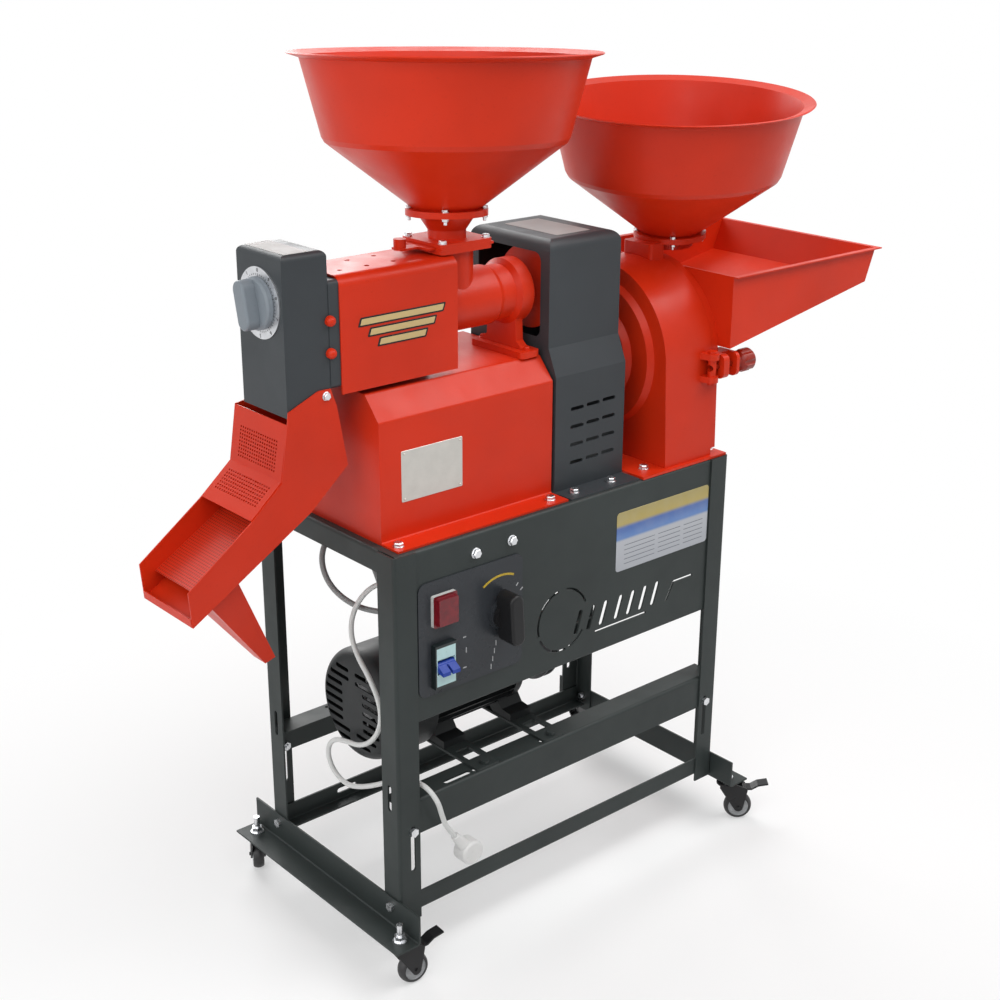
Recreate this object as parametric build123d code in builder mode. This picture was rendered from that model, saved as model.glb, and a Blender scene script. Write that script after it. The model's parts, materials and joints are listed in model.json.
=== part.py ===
from build123d import *
from math import cos, hypot, pi, radians, sin, tan
import os

os.makedirs("parts", exist_ok=True)

# Stand of folded sheet: +X is the crusher end, -Y the control panel, +Z up, floor at Z 0
sheet = 3.0
frame_length = 700.0
frame_depth = 350.0
table_height = 693.0
leg_width = 40.0
leg_foot = 85.0
panel_drop = 274.0
top_rail_drop = 34.0
table_flange = 40.0
motor_rail_top = 291.0
motor_rail_drop = 59.0
bottom_rail_foot = 96.0
bottom_rail_rise = 33.0
bottom_rail_flange = 25.0
base_foot = 78.0
base_rise = 50.0
base_flange = 45.0
base_overhang = 49.0
bend_radius = 4.0
corner_relief = 3.0

# Fits used wherever two pieces meet
running_fit = 0.05
seat_gap = 0.3
slide_gap = 0.4

# Bolts of the stand
bolt_diameter = 8.0
bolt_head_radius = 7.5
bolt_head = 5.5
bolt_tail = 9.0
motor_bolt_height = 242.0
bar_bolt_inset = 17.0
base_bolt_height = 112.0

# Casters
stem_out = 20.0
stem_overhang = 23.0
wheel_radius = 25.0
wheel_width = 20.0
caster_trail = 22.0
fork_sheet = 2.5
fork_top = 72.5
axle_radius = 3.0
brake_reach = 32.0
brake_height = 60.0
brake_pin_radius = 2.0
stud_radius = 5.0

# Motor and its belts
motor_y = 0.0
motor_bar = 4.0
shaft_height = 80.0
motor_left = -205.0
motor_right = -20.0
motor_radius = 68.0
fin_radius = 76.0
cowl_radius = 92.0
cowl_left = -305.0
motor_shaft_radius = 12.0
motor_shaft_end = 88.0
belt_width = 12.0
belt_depth = 9.0
mill_belt_x = 27.0
crusher_belt_x = 65.0
motor_mill_radius = 42.5
motor_crusher_radius = 65.0
mill_pulley_radius = 64.0
crusher_pulley_radius = 37.5

# Rice mill
mill_y = -38.0
mill_rise = 311.0
mill_base_left = -332.0
mill_base_right = -4.0
mill_base_half = 123.0
mill_base_shoulder = 182.0
mill_base_top_half = 91.0
mill_base_rise = 218.0
mill_shaft_radius = 12.5
casing_left = -371.0
casing_right = -166.0
casing_half = 57.0
casing_foot = 226.0
casing_top = 390.0
inlet_x = -139.0
inlet_radius = 38.0
inlet_bore = 26.0
inlet_top = 392.0
head_left = -460.0
head_right = -388.0
head_half = 54.0
head_foot = 208.0
head_top = 428.0
head_wall = 4.0
dial_rise = 358.0
gate_thickness = 3.0
gate_half = 33.4
neck_flange_rise = 402.0
hopper_flange_rise = 445.0

# Crusher
crusher_y = -5.0
crusher_rise = 169.0
crusher_left = 210.0
crusher_right = 318.0
crusher_radius = 150.0
crusher_foot_half = 158.0
crusher_wall = 10.0
crusher_shaft_radius = 12.5
door_thickness = 14.0
crusher_hopper_x = 360.0
crusher_hopper_y = -11.0
crusher_hopper_rise = 347.0
hinge_y = 168.0
clamp_y = -168.0
clamp_rise = 157.0

# Hopper shape, shared by both machines
hopper_flange_radius = 60.0
hopper_mouth = 42.0
hopper_break_radius = 177.0
hopper_break_rise = 101.0
hopper_top_radius = 205.0
hopper_top_rise = 212.0
hopper_rim_radius = 221.0
hopper_rise = 220.0
hopper_wall = 2.0
lean_bearing = -131.0
mill_hopper_lean = -3.0
crusher_hopper_lean = 4.0

# Cut-outs and controls on the front panel
ring_run = 330.0
ring_drop = 193.0
plate_thickness = 2.0
plate_run = 43.0
plate_length = 200.0
plate_drop = 53.0
plate_height = 182.0
box_depth = 57.0
breaker_run = 86.0
breaker_drop = 188.0
breaker_width = 40.0
breaker_height = 70.0
lamp_run = 88.0
lamp_drop = 100.0
selector_run = 200.0
selector_drop = 141.0

# Leads
mains_diameter = 8.0
motor_lead_diameter = 9.0

# Places that follow from the sizes above
half_length = frame_length / 2
half_depth = frame_depth / 2
panel_face = half_depth - sheet
motor_z = motor_rail_top + motor_bar + shaft_height
terminal_z = motor_z + motor_radius + 25
mill_z = table_height + mill_rise
crusher_z = table_height + crusher_rise
mill_base_top = table_height + mill_base_rise
fork_gap = wheel_width + 2 * seat_gap
rail_start = -half_length + sheet + corner_relief
rail_length = -2 * rail_start
front_of_plate = -panel_face - plate_thickness
bar_bolt_y = half_depth - bar_bolt_inset
ring_x = -half_length + ring_run
ring_z = table_height - ring_drop
plate_left = -half_length + plate_run
plate_right = plate_left + plate_length
plate_top = table_height - plate_drop
plate_foot = plate_top - plate_height
breaker_x = -half_length + breaker_run
breaker_z = table_height - breaker_drop
lamp_x = -half_length + lamp_run
lamp_z = table_height - lamp_drop
selector_x = -half_length + selector_run
selector_z = table_height - selector_drop


def level(z):
    """Plane across the machine at height z, drawn in X and Y."""
    return Plane.XY.offset(z)


def across(x):
    """Plane facing the crusher end at x, drawn in Y and Z."""
    return Plane.YZ.offset(x)


def along(y):
    """Plane facing the front at y, drawn in X and Z."""
    return Plane.XZ.offset(-y)


def turned(y, z):
    """Plane of a half section turned about a shaft along X, drawn in X and radius."""
    return Plane(origin=(0, y, z), x_dir=(1, 0, 0), z_dir=(0, -1, 0))


def above_table(y):
    """Plane facing the front at y, drawn in X and height above the table."""
    return Plane(origin=(0, y, table_height), x_dir=(1, 0, 0), z_dir=(0, -1, 0))


def shaft_axis(y, z):
    """Axis along X through the given point."""
    return Axis((0, y, z), (1, 0, 0))


def leaning(x, y, z, lean):
    """Plane of a hopper's seat that leans along the shared bearing by the given degrees."""
    tilt, bearing = radians(lean), radians(lean_bearing)
    return Plane(origin=(x, y, z), z_dir=(sin(tilt) * cos(bearing), sin(tilt) * sin(bearing), cos(tilt)))


def half_section(seat):
    """Plane of a half section turned about the middle of a seat, drawn in radius and height."""
    return Plane(origin=seat.origin, x_dir=seat.x_dir, z_dir=-seat.y_dir)


def save(piece, name):
    """Name a finished piece and write its own file."""
    piece.part.label = name
    export_step(piece.part, f"parts/{name}.step")


def bolt(seat, grip):
    """Hexagon bolt with its head on the plane seat and its nut a grip behind it."""
    with BuildSketch(seat) as head:
        RegularPolygon(bolt_head_radius, 6)
    extrude(head.sketch, amount=bolt_head)
    with BuildSketch(seat) as shank:
        Circle(bolt_diameter / 2)
    extrude(shank.sketch, amount=-grip - bolt_tail)
    with BuildSketch(seat.offset(-grip)) as nut:
        RegularPolygon(bolt_head_radius, 6)
    extrude(nut.sketch, amount=-bolt_head)


corners = {"front_left": (-1, -1), "front_right": (1, -1), "rear_left": (-1, 1), "rear_right": (1, 1)}
leg_bolt_x = half_length - 26
base_bolt_y = half_depth - 20
bolt_hole = bolt_diameter + 2 * seat_gap

# Legs: angle posts with slotted flanges
with BuildPart() as legs:
    for sx, sy in corners.values():
        with BuildSketch(level(leg_foot)):
            with BuildLine():
                FilletPolyline(
                    (sx * (half_length - leg_width), sy * (half_depth - sheet / 2)),
                    (sx * (half_length - sheet / 2), sy * (half_depth - sheet / 2)),
                    (sx * (half_length - sheet / 2), sy * (half_depth - leg_width)),
                    radius=bend_radius,
                )
            trace(line_width=sheet)
        extrude(amount=table_height - leg_foot)
    with BuildSketch(Plane.XZ):
        with Locations((-leg_bolt_x, motor_bolt_height - 30), (leg_bolt_x, motor_bolt_height - 30)):
            SlotOverall(78, bolt_hole, rotation=90)
    extrude(amount=frame_depth, both=True, mode=Mode.SUBTRACT)
    with BuildSketch(Plane.YZ):
        with Locations((-half_depth + 22, 300), (half_depth - 22, 300)):
            SlotOverall(44, bolt_hole, rotation=90)
        with Locations((-base_bolt_y, base_bolt_height), (base_bolt_y, base_bolt_height)):
            Circle(bolt_hole / 2)
    extrude(amount=frame_length, both=True, mode=Mode.SUBTRACT)
save(legs, "legs")

# Front panel: folded sheet with a ring of arc slots, slanted slots and two thin lines
with BuildPart() as front_panel:
    with BuildSketch(across(rail_start)):
        with BuildLine():
            FilletPolyline(
                (-half_depth + sheet + table_flange, table_height - sheet / 2),
                (-half_depth + 1.5 * sheet, table_height - sheet / 2),
                (-half_depth + 1.5 * sheet, table_height - panel_drop + sheet / 2),
                (-half_depth + sheet + 20, table_height - panel_drop + sheet / 2),
                radius=bend_radius,
            )
        trace(line_width=sheet)
    extrude(amount=rail_length)
    with BuildSketch(along(-half_depth)):
        with BuildLine():
            CenterArc((ring_x, ring_z), 52, 20, 62)
            CenterArc((ring_x, ring_z), 52, 100, 96)
            CenterArc((ring_x, ring_z), 52, 204, 74)
            CenterArc((ring_x, ring_z), 52, 286, 40)
        trace(line_width=4)
        for slot_x in (14, 42, 70, 104, 132, 160, 188):
            with Locations((ring_x + 20 + slot_x, ring_z - 14)):
                SlotOverall(42, 9, rotation=72)
        with Locations((ring_x + 130, ring_z - 42)):
            Rectangle(116, 4)
        with Locations((ring_x + 244, ring_z - 20)):
            Rectangle(34, 4, rotation=62)
        with Locations((ring_x + 275, ring_z - 5)):
            Rectangle(46, 4)
        with Locations((lamp_x, lamp_z), (selector_x, selector_z)):
            Circle(11)
        with Locations((breaker_x, breaker_z)):
            Rectangle(breaker_width + 2 * seat_gap, breaker_height + 2 * seat_gap)
    extrude(amount=-2 * sheet - 1, mode=Mode.SUBTRACT)
save(front_panel, "front_panel")

# Top rails: rear, left and right angles that carry the machines
side_rail_half = half_depth - 2 * sheet
with BuildPart() as top_rails:
    with BuildSketch(across(rail_start)):
        with BuildLine():
            FilletPolyline(
                (half_depth - sheet - table_flange, table_height - sheet / 2),
                (half_depth - 1.5 * sheet, table_height - sheet / 2),
                (half_depth - 1.5 * sheet, table_height - top_rail_drop),
                radius=bend_radius,
            )
        trace(line_width=sheet)
    extrude(amount=rail_length)
    for sx in (-1, 1):
        with BuildSketch(along(half_depth - sheet - table_flange - seat_gap)):
            with BuildLine():
                FilletPolyline(
                    (sx * (half_length - sheet - table_flange), table_height - sheet / 2),
                    (sx * (half_length - 1.5 * sheet), table_height - sheet / 2),
                    (sx * (half_length - 1.5 * sheet), table_height - top_rail_drop),
                    radius=bend_radius,
                )
            trace(line_width=sheet)
        extrude(amount=frame_depth - 2 * (sheet + table_flange + seat_gap))
        with BuildSketch(level(table_height - top_rail_drop)):
            with Locations((sx * (half_length - 1.5 * sheet), 0)):
                Rectangle(sheet, 2 * side_rail_half)
        extrude(amount=top_rail_drop - 2 * sheet)
save(top_rails, "top_rails")

# Motor rails: front and rear angles with long adjusting slots
motor_flange = 42.0
with BuildPart() as motor_rails:
    for sy in (-1, 1):
        with BuildSketch(across(rail_start)):
            with BuildLine():
                FilletPolyline(
                    (sy * (panel_face - motor_flange), motor_rail_top - sheet / 2),
                    (sy * (panel_face - sheet / 2), motor_rail_top - sheet / 2),
                    (sy * (panel_face - sheet / 2), motor_rail_top - motor_rail_drop),
                    radius=bend_radius,
                )
            trace(line_width=sheet)
        extrude(amount=rail_length)
    with BuildSketch(level(motor_rail_top)):
        for slot_x in (-224, -168, -28):
            with Locations((slot_x, -bar_bolt_y), (slot_x, bar_bolt_y)):
                SlotOverall(52, bolt_hole)
    extrude(amount=-sheet, mode=Mode.SUBTRACT)
    with BuildSketch(Plane.XZ):
        with Locations((-leg_bolt_x, motor_bolt_height), (leg_bolt_x, motor_bolt_height)):
            Circle(bolt_hole / 2)
    extrude(amount=frame_depth, both=True, mode=Mode.SUBTRACT)
save(motor_rails, "motor_rails")

# Bottom rails: low angles between the legs, the rear one slotted for fixing to a wall
with BuildPart() as bottom_rails:
    for sy in (-1, 1):
        with BuildSketch(across(rail_start)):
            with BuildLine():
                FilletPolyline(
                    (sy * (panel_face - bottom_rail_flange), bottom_rail_foot + sheet / 2),
                    (sy * (panel_face - sheet / 2), bottom_rail_foot + sheet / 2),
                    (sy * (panel_face - sheet / 2), bottom_rail_foot + bottom_rail_rise),
                    radius=bend_radius,
                )
            trace(line_width=sheet)
        extrude(amount=rail_length)
    with BuildSketch(along(panel_face)):
        with Locations((-204, bottom_rail_foot + 19), (204, bottom_rail_foot + 19)):
            SlotOverall(40, 9)
    extrude(amount=sheet, mode=Mode.SUBTRACT)
save(bottom_rails, "bottom_rails")

# Base angles: one under each end, the casters hang from their outer flanges
base_half = half_depth + base_overhang
with BuildPart() as base_angles:
    for sx in (-1, 1):
        with BuildSketch(along(base_half)):
            with BuildLine():
                FilletPolyline(
                    (sx * (half_length + base_flange), base_foot + sheet / 2),
                    (sx * (half_length + sheet / 2), base_foot + sheet / 2),
                    (sx * (half_length + sheet / 2), base_foot + base_rise),
                    radius=bend_radius,
                )
            trace(line_width=sheet)
        extrude(amount=2 * base_half)
    with BuildSketch(Plane.YZ):
        with Locations((-base_bolt_y, base_bolt_height), (base_bolt_y, base_bolt_height)):
            Circle(bolt_hole / 2)
    extrude(amount=frame_length, both=True, mode=Mode.SUBTRACT)
    with BuildSketch(level(base_foot)):
        for sx, sy in corners.values():
            with Locations((sx * (half_length + stem_out), sy * (half_depth + stem_overhang))):
                Circle(stud_radius + seat_gap)
    extrude(amount=sheet, mode=Mode.SUBTRACT)
save(base_angles, "base_angles")

# Bolts of the stand
with BuildPart() as frame_bolts:
    for sx, sy in corners.values():
        rail_seat = Plane(
            origin=(sx * leg_bolt_x, sy * half_depth, motor_bolt_height),
            x_dir=(0, 0, 1),
            z_dir=(0, sy, 0),
        )
        bolt(rail_seat, 2 * sheet)
        base_seat = Plane(
            origin=(sx * (half_length + sheet), sy * base_bolt_y, base_bolt_height),
            x_dir=(0, 0, 1),
            z_dir=(sx, 0, 0),
        )
        bolt(base_seat, 2 * sheet)
save(frame_bolts, "frame_bolts")

# Casters: studs stay with the stand, forks turn on them
trail_angles = {"front_left": -4.0, "front_right": -40.0, "rear_left": 62.0, "rear_right": 20.0}
with BuildPart() as caster_studs:
    for sx, sy in corners.values():
        stem = (sx * (half_length + stem_out), sy * (half_depth + stem_overhang))
        with Locations((*stem, 66)):
            Cylinder(stud_radius, 44, align=(Align.CENTER, Align.CENTER, Align.MIN))
            Cylinder(8, 3.2, align=(Align.CENTER, Align.CENTER, Align.MIN))
        with Locations((*stem, fork_top + 2 * seat_gap)):
            Cylinder(11, base_foot - fork_top - 2 * seat_gap, align=(Align.CENTER, Align.CENTER, Align.MIN))
        with Locations((*stem, base_foot + sheet)):
            Cylinder(11, 2, align=(Align.CENTER, Align.CENTER, Align.MIN))
        with BuildSketch(level(base_foot + sheet + 2)):
            with Locations(stem):
                RegularPolygon(9, 6)
        extrude(amount=8)
save(caster_studs, "caster_studs")

for corner, (sx, sy) in corners.items():
    angle = radians(trail_angles[corner])
    stem_x = sx * (half_length + stem_out)
    stem_y = sy * (half_depth + stem_overhang)
    side = Plane(
        origin=(stem_x, stem_y, 0),
        x_dir=(cos(angle), sin(angle), 0),
        z_dir=(sin(angle), -cos(angle), 0),
    )
    braked = sy < 0
    with BuildPart() as fork:
        for cheek_face in (fork_gap / 2, -fork_gap / 2 - fork_sheet):
            with BuildSketch(side.offset(cheek_face)):
                with Locations((caster_trail, wheel_radius)):
                    Circle(8)
                with Locations((0, fork_top - 4)):
                    Rectangle(26, 8)
                if braked:
                    with Locations((brake_reach, brake_height)):
                        Circle(5)
                make_hull()
            extrude(amount=fork_sheet)
        with BuildSketch(level(fork_top)):
            with Locations((stem_x, stem_y)):
                Circle(18)
                Circle(stud_radius + 2 * running_fit, mode=Mode.SUBTRACT)
        extrude(amount=-3)
        with BuildSketch(side.offset(-fork_gap / 2 - fork_sheet - 2)):
            with Locations((caster_trail, wheel_radius)):
                Circle(axle_radius)
        extrude(amount=fork_gap + 2 * fork_sheet + 4)
        if braked:
            with BuildSketch(side.offset(-fork_gap / 2 - fork_sheet)):
                with Locations((brake_reach, brake_height)):
                    Circle(brake_pin_radius)
            extrude(amount=fork_gap + 2 * fork_sheet)
    save(fork, f"{corner}_fork")

    hub = Plane(
        origin=(stem_x + caster_trail * cos(angle), stem_y + caster_trail * sin(angle), wheel_radius),
        x_dir=(cos(angle), sin(angle), 0),
        z_dir=(0, 0, 1),
    )
    with BuildPart() as wheel:
        with BuildSketch(hub):
            with BuildLine():
                Polyline(
                    (axle_radius + 0.08, -wheel_width / 2),
                    (9, -wheel_width / 2),
                    (11, -wheel_width / 2 + 3),
                    (17, -wheel_width / 2 + 3),
                    (18.5, -wheel_width / 2 + 1),
                    (wheel_radius - 3, -wheel_width / 2 + 1),
                )
                ThreePointArc(
                    (wheel_radius - 3, -wheel_width / 2 + 1),
                    (wheel_radius, 0),
                    (wheel_radius - 3, wheel_width / 2 - 1),
                )
                Polyline(
                    (wheel_radius - 3, wheel_width / 2 - 1),
                    (18.5, wheel_width / 2 - 1),
                    (17, wheel_width / 2 - 3),
                    (11, wheel_width / 2 - 3),
                    (9, wheel_width / 2),
                    (axle_radius + 0.08, wheel_width / 2),
                    (axle_radius + 0.08, -wheel_width / 2),
                )
            make_face()
        revolve(axis=Axis(hub.origin, (-sin(angle), cos(angle), 0)))
    save(wheel, f"{corner}_wheel")

    if braked:
        with BuildPart() as brake:
            with BuildSketch(side.offset(-wheel_width / 2)):
                with Locations((brake_reach, brake_height)):
                    Circle(4.6)
                with BuildLine():
                    Polyline(
                        (brake_reach, brake_height + 1),
                        (brake_reach + 12, brake_height + 1),
                        (brake_reach + 24, brake_height + 8),
                        (brake_reach + 42, brake_height + 11),
                    )
                trace(line_width=3)
                with Locations((brake_reach, brake_height)):
                    Circle(brake_pin_radius + 0.08, mode=Mode.SUBTRACT)
            extrude(amount=wheel_width)
        save(brake, f"{corner}_brake")

# Motor: two cross bars on the rails, finned body on feet, slotted fan cover
motor_feet = (-168.0, -28.0)
with BuildPart() as motor_bars:
    for foot_x in motor_feet:
        with BuildSketch(level(motor_rail_top)):
            with Locations((foot_x, 0)):
                RectangleRounded(46, frame_depth - 2 * sheet - 8, 6)
            with Locations((foot_x, -bar_bolt_y), (foot_x, bar_bolt_y)):
                Circle(bolt_hole / 2, mode=Mode.SUBTRACT)
            with Locations((foot_x, -118), (foot_x, 118)):
                Rectangle(26, 34, mode=Mode.SUBTRACT)
        extrude(amount=motor_bar)
        for sy in (-1, 1):
            bar_seat = Plane(
                origin=(foot_x, sy * bar_bolt_y, motor_rail_top + motor_bar),
                x_dir=(1, 0, 0),
                z_dir=(0, 0, 1),
            )
            bolt(bar_seat, motor_bar + sheet)
save(motor_bars, "motor_bars")

with BuildPart() as motor_body:
    with BuildSketch(turned(motor_y, motor_z)):
        with BuildLine():
            Polyline(
                (motor_left - 10, motor_shaft_radius + running_fit),
                (motor_left - 10, cowl_radius - 2 - seat_gap),
                (motor_left + 2, cowl_radius - 2 - seat_gap),
                (motor_left + 6, motor_radius),
                (motor_right - 8, motor_radius),
                (motor_right - 8, fin_radius),
                (motor_right + 6, fin_radius),
                (motor_right + 22, 44),
                (motor_right + 22, 28),
                (motor_right + 28, 28),
                (motor_right + 28, motor_shaft_radius + running_fit),
                (motor_left - 10, motor_shaft_radius + running_fit),
            )
        make_face()
    revolve(axis=shaft_axis(motor_y, motor_z))
    for step in range(28):
        turn = 360 / 28 * step
        with BuildSketch(across(motor_left + 4)):
            with Locations(Location((motor_y, motor_z), turn)):
                with Locations((motor_radius - 3 + (fin_radius - motor_radius + 3) / 2, 0)):
                    Rectangle(fin_radius - motor_radius + 3, 3)
        extrude(amount=motor_right - motor_left - 10)
    for foot_x in motor_feet:
        with BuildSketch(across(foot_x - 22)):
            with BuildLine():
                Polyline(
                    (motor_y - 84, motor_rail_top + motor_bar),
                    (motor_y - 84, motor_rail_top + motor_bar + 12),
                    (motor_y - 62, motor_rail_top + motor_bar + 14),
                    (motor_y - 46, motor_z - 44),
                    (motor_y + 46, motor_z - 44),
                    (motor_y + 62, motor_rail_top + motor_bar + 14),
                    (motor_y + 84, motor_rail_top + motor_bar + 12),
                    (motor_y + 84, motor_rail_top + motor_bar),
                    (motor_y + 40, motor_rail_top + motor_bar),
                    (motor_y + 30, motor_rail_top + motor_bar + 10),
                    (motor_y - 30, motor_rail_top + motor_bar + 10),
                    (motor_y - 40, motor_rail_top + motor_bar),
                    (motor_y - 84, motor_rail_top + motor_bar),
                )
            make_face()
        extrude(amount=44)
    with BuildSketch(level(terminal_z - 31)):
        with Locations((-110, motor_y + 20)):
            RectangleRounded(80, 80, 8)
    extrude(amount=56)
save(motor_body, "motor_body")

with BuildPart() as motor_cowl:
    with BuildSketch(turned(motor_y, motor_z)):
        with BuildLine():
            Polyline(
                (motor_left - 2, cowl_radius - 2),
                (motor_left - 2, cowl_radius),
                (cowl_left + 26, cowl_radius),
            )
            TangentArc(
                (cowl_left + 26, cowl_radius),
                (cowl_left, cowl_radius - 26),
                tangent=(-1, 0),
            )
            Polyline(
                (cowl_left, cowl_radius - 26),
                (cowl_left, 0),
                (cowl_left + 2, 0),
                (cowl_left + 2, cowl_radius - 26),
            )
            TangentArc(
                (cowl_left + 2, cowl_radius - 26),
                (cowl_left + 26, cowl_radius - 2),
                tangent=(0, 1),
            )
            Line((cowl_left + 26, cowl_radius - 2), (motor_left - 2, cowl_radius - 2))
        make_face()
    revolve(axis=shaft_axis(motor_y, motor_z))
    with BuildSketch(across(cowl_left - 1)):
        for row in range(-4, 5):
            reach = (74**2 - (15 * row) ** 2) ** 0.5
            inner = 26 if abs(row) < 3 else 8
            with Locations(
                (motor_y - (reach + inner) / 2, motor_z + 15 * row),
                (motor_y + (reach + inner) / 2, motor_z + 15 * row),
            ):
                SlotOverall(reach - inner, 7)
    extrude(amount=20, mode=Mode.SUBTRACT)
save(motor_cowl, "motor_cowl")

with BuildPart() as motor_shaft:
    with BuildSketch(across(cowl_left + 22)):
        with Locations((motor_y, motor_z)):
            Circle(motor_shaft_radius)
    extrude(amount=motor_shaft_end - cowl_left - 22)
    with BuildSketch(across(cowl_left + 28)):
        with Locations((motor_y, motor_z)):
            Circle(28)
            with PolarLocations(48, 8):
                Rectangle(48, 4)
    extrude(amount=34)
save(motor_shaft, "motor_shaft")


def pulley_groove(x, radius):
    """Half-section points of one belt groove centred at x."""
    return [
        (x - belt_width / 2 - 4, radius),
        (x - belt_width / 2, radius),
        (x - belt_width / 2 + 2, radius - belt_depth),
        (x + belt_width / 2 - 2, radius - belt_depth),
        (x + belt_width / 2, radius),
        (x + belt_width / 2 + 4, radius),
    ]


pulleys = {
    "motor_pulley": (
        motor_y,
        motor_z,
        motor_shaft_radius,
        pulley_groove(mill_belt_x, motor_mill_radius) + pulley_groove(crusher_belt_x, motor_crusher_radius),
    ),
    "mill_pulley": (mill_y, mill_z, mill_shaft_radius, pulley_groove(mill_belt_x, mill_pulley_radius)),
    "crusher_pulley": (
        crusher_y,
        crusher_z,
        crusher_shaft_radius,
        pulley_groove(crusher_belt_x, crusher_pulley_radius),
    ),
}
for name, (pulley_y, pulley_z, bore, outline) in pulleys.items():
    with BuildPart() as pulley:
        with BuildSketch(turned(pulley_y, pulley_z)):
            with BuildLine():
                Polyline(
                    (outline[0][0], bore + running_fit),
                    *outline,
                    (outline[-1][0], bore + running_fit),
                    (outline[0][0], bore + running_fit),
                )
            make_face()
        revolve(axis=shaft_axis(pulley_y, pulley_z))
    save(pulley, name)

# Belts: flat rings round two pulleys, lying in the grooves
belts = {
    "mill_belt": (mill_belt_x, motor_mill_radius, mill_y, mill_z, mill_pulley_radius),
    "crusher_belt": (crusher_belt_x, motor_crusher_radius, crusher_y, crusher_z, crusher_pulley_radius),
}
belt_run = belt_width - 4 - 2 * slide_gap
for name, (belt_x, low_radius, high_y, high_z, high_radius) in belts.items():
    with BuildPart() as belt:
        with BuildSketch(across(belt_x - belt_run / 2)):
            with Locations((motor_y, motor_z)):
                Circle(low_radius - 1)
            with Locations((high_y, high_z)):
                Circle(high_radius - 1)
            make_hull()
        extrude(amount=belt_run)
        with BuildSketch(across(belt_x - belt_run / 2)):
            with Locations((motor_y, motor_z)):
                Circle(low_radius - belt_depth + slide_gap)
            with Locations((high_y, high_z)):
                Circle(high_radius - belt_depth + slide_gap)
            make_hull()
        extrude(amount=belt_run, mode=Mode.SUBTRACT)
    save(belt, name)

# Mill base: folded cover with sloping shoulders and closed ends
shoulder_z = table_height + mill_base_shoulder
with BuildPart() as mill_base:
    with BuildSketch(across(mill_base_left)):
        with BuildLine():
            FilletPolyline(
                (-mill_base_half - 40, table_height + sheet / 2),
                (-mill_base_half + sheet / 2, table_height + sheet / 2),
                (-mill_base_half + sheet / 2, shoulder_z),
                (-mill_base_top_half, mill_base_top - sheet / 2),
                (mill_base_top_half, mill_base_top - sheet / 2),
                (mill_base_half - sheet / 2, shoulder_z),
                (mill_base_half - sheet / 2, table_height + sheet / 2),
                (mill_base_half + 40, table_height + sheet / 2),
                radius=bend_radius,
            )
        trace(line_width=sheet)
    extrude(amount=mill_base_right - mill_base_left)
    for end_x in (mill_base_left, mill_base_right - sheet):
        with BuildSketch(across(end_x)):
            with BuildLine():
                Polyline(
                    (-mill_base_half + 1, table_height),
                    (-mill_base_half + 1, shoulder_z),
                    (-mill_base_top_half, mill_base_top - 1),
                    (mill_base_top_half, mill_base_top - 1),
                    (mill_base_half - 1, shoulder_z),
                    (mill_base_half - 1, table_height),
                    (-mill_base_half + 1, table_height),
                )
            make_face()
        extrude(amount=sheet)
save(mill_base, "mill_base")

# Milling chamber cover: inverted channel with vent holes, cut round the inlet
casing_z = table_height + casing_top
with BuildPart() as mill_casing:
    with BuildSketch(across(casing_left)):
        with BuildLine():
            FilletPolyline(
                (mill_y - casing_half + sheet / 2, table_height + casing_foot),
                (mill_y - casing_half + sheet / 2, casing_z - sheet / 2),
                (mill_y + casing_half - sheet / 2, casing_z - sheet / 2),
                (mill_y + casing_half - sheet / 2, table_height + casing_foot),
                radius=14,
            )
        trace(line_width=sheet)
    extrude(amount=casing_right - casing_left)
    with BuildSketch(level(casing_z)):
        with Locations((inlet_x, mill_y)):
            Circle(inlet_radius + slide_gap)
        with Locations((-300, mill_y)):
            with GridLocations(46, 46, 3, 2):
                Circle(4)
    extrude(amount=-sheet, mode=Mode.SUBTRACT)
save(mill_casing, "mill_casing")

# Saddle under the screen, standing on the base and joining head and barrel
screen_radius = 40.0
barrel_left = -180.0
with BuildPart() as chamber_saddle:
    with BuildSketch(across(casing_left)):
        with Locations((mill_y, mill_z)):
            Circle(screen_radius + 6)
            Circle(screen_radius + seat_gap, mode=Mode.SUBTRACT)
            with Locations((0, 40)):
                Rectangle(120, 80, mode=Mode.SUBTRACT)
    extrude(amount=barrel_left - casing_left)
    with BuildSketch(level(mill_base_top)):
        with Locations(((mill_base_left + 2 + barrel_left - 10) / 2, mill_y)):
            Rectangle(barrel_left - 12 - mill_base_left, 30)
    extrude(amount=mill_z - mill_base_top - screen_radius - 2)
save(chamber_saddle, "chamber_saddle")

with BuildPart() as mill_screen:
    with BuildSketch(across(casing_left + seat_gap)):
        with Locations((mill_y, mill_z)):
            Circle(screen_radius)
            Circle(screen_radius - 2, mode=Mode.SUBTRACT)
    extrude(amount=barrel_left - casing_left - 2 * seat_gap)
save(mill_screen, "mill_screen")

# Mill shaft: one turned piece with the milling roller and the rings of the feed screw
with BuildPart() as mill_shaft:
    with BuildSketch(turned(mill_y, mill_z)):
        with BuildLine():
            Polyline(
                (casing_left + 8, 0),
                (casing_left + 8, 26),
                (-184, 30),
                (-176, 18),
                (-166, 18),
                (-164, 28),
                (-160, 28),
                (-158, 18),
                (-140, 18),
                (-138, 28),
                (-134, 28),
                (-132, 18),
                (-114, 18),
                (-112, 28),
                (-108, 28),
                (-106, 18),
                (-60, 18),
                (-60, mill_shaft_radius),
                (mill_belt_x + 20, mill_shaft_radius),
                (mill_belt_x + 20, 0),
                (casing_left + 8, 0),
            )
        make_face()
    revolve(axis=shaft_axis(mill_y, mill_z))
save(mill_shaft, "mill_shaft")

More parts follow.
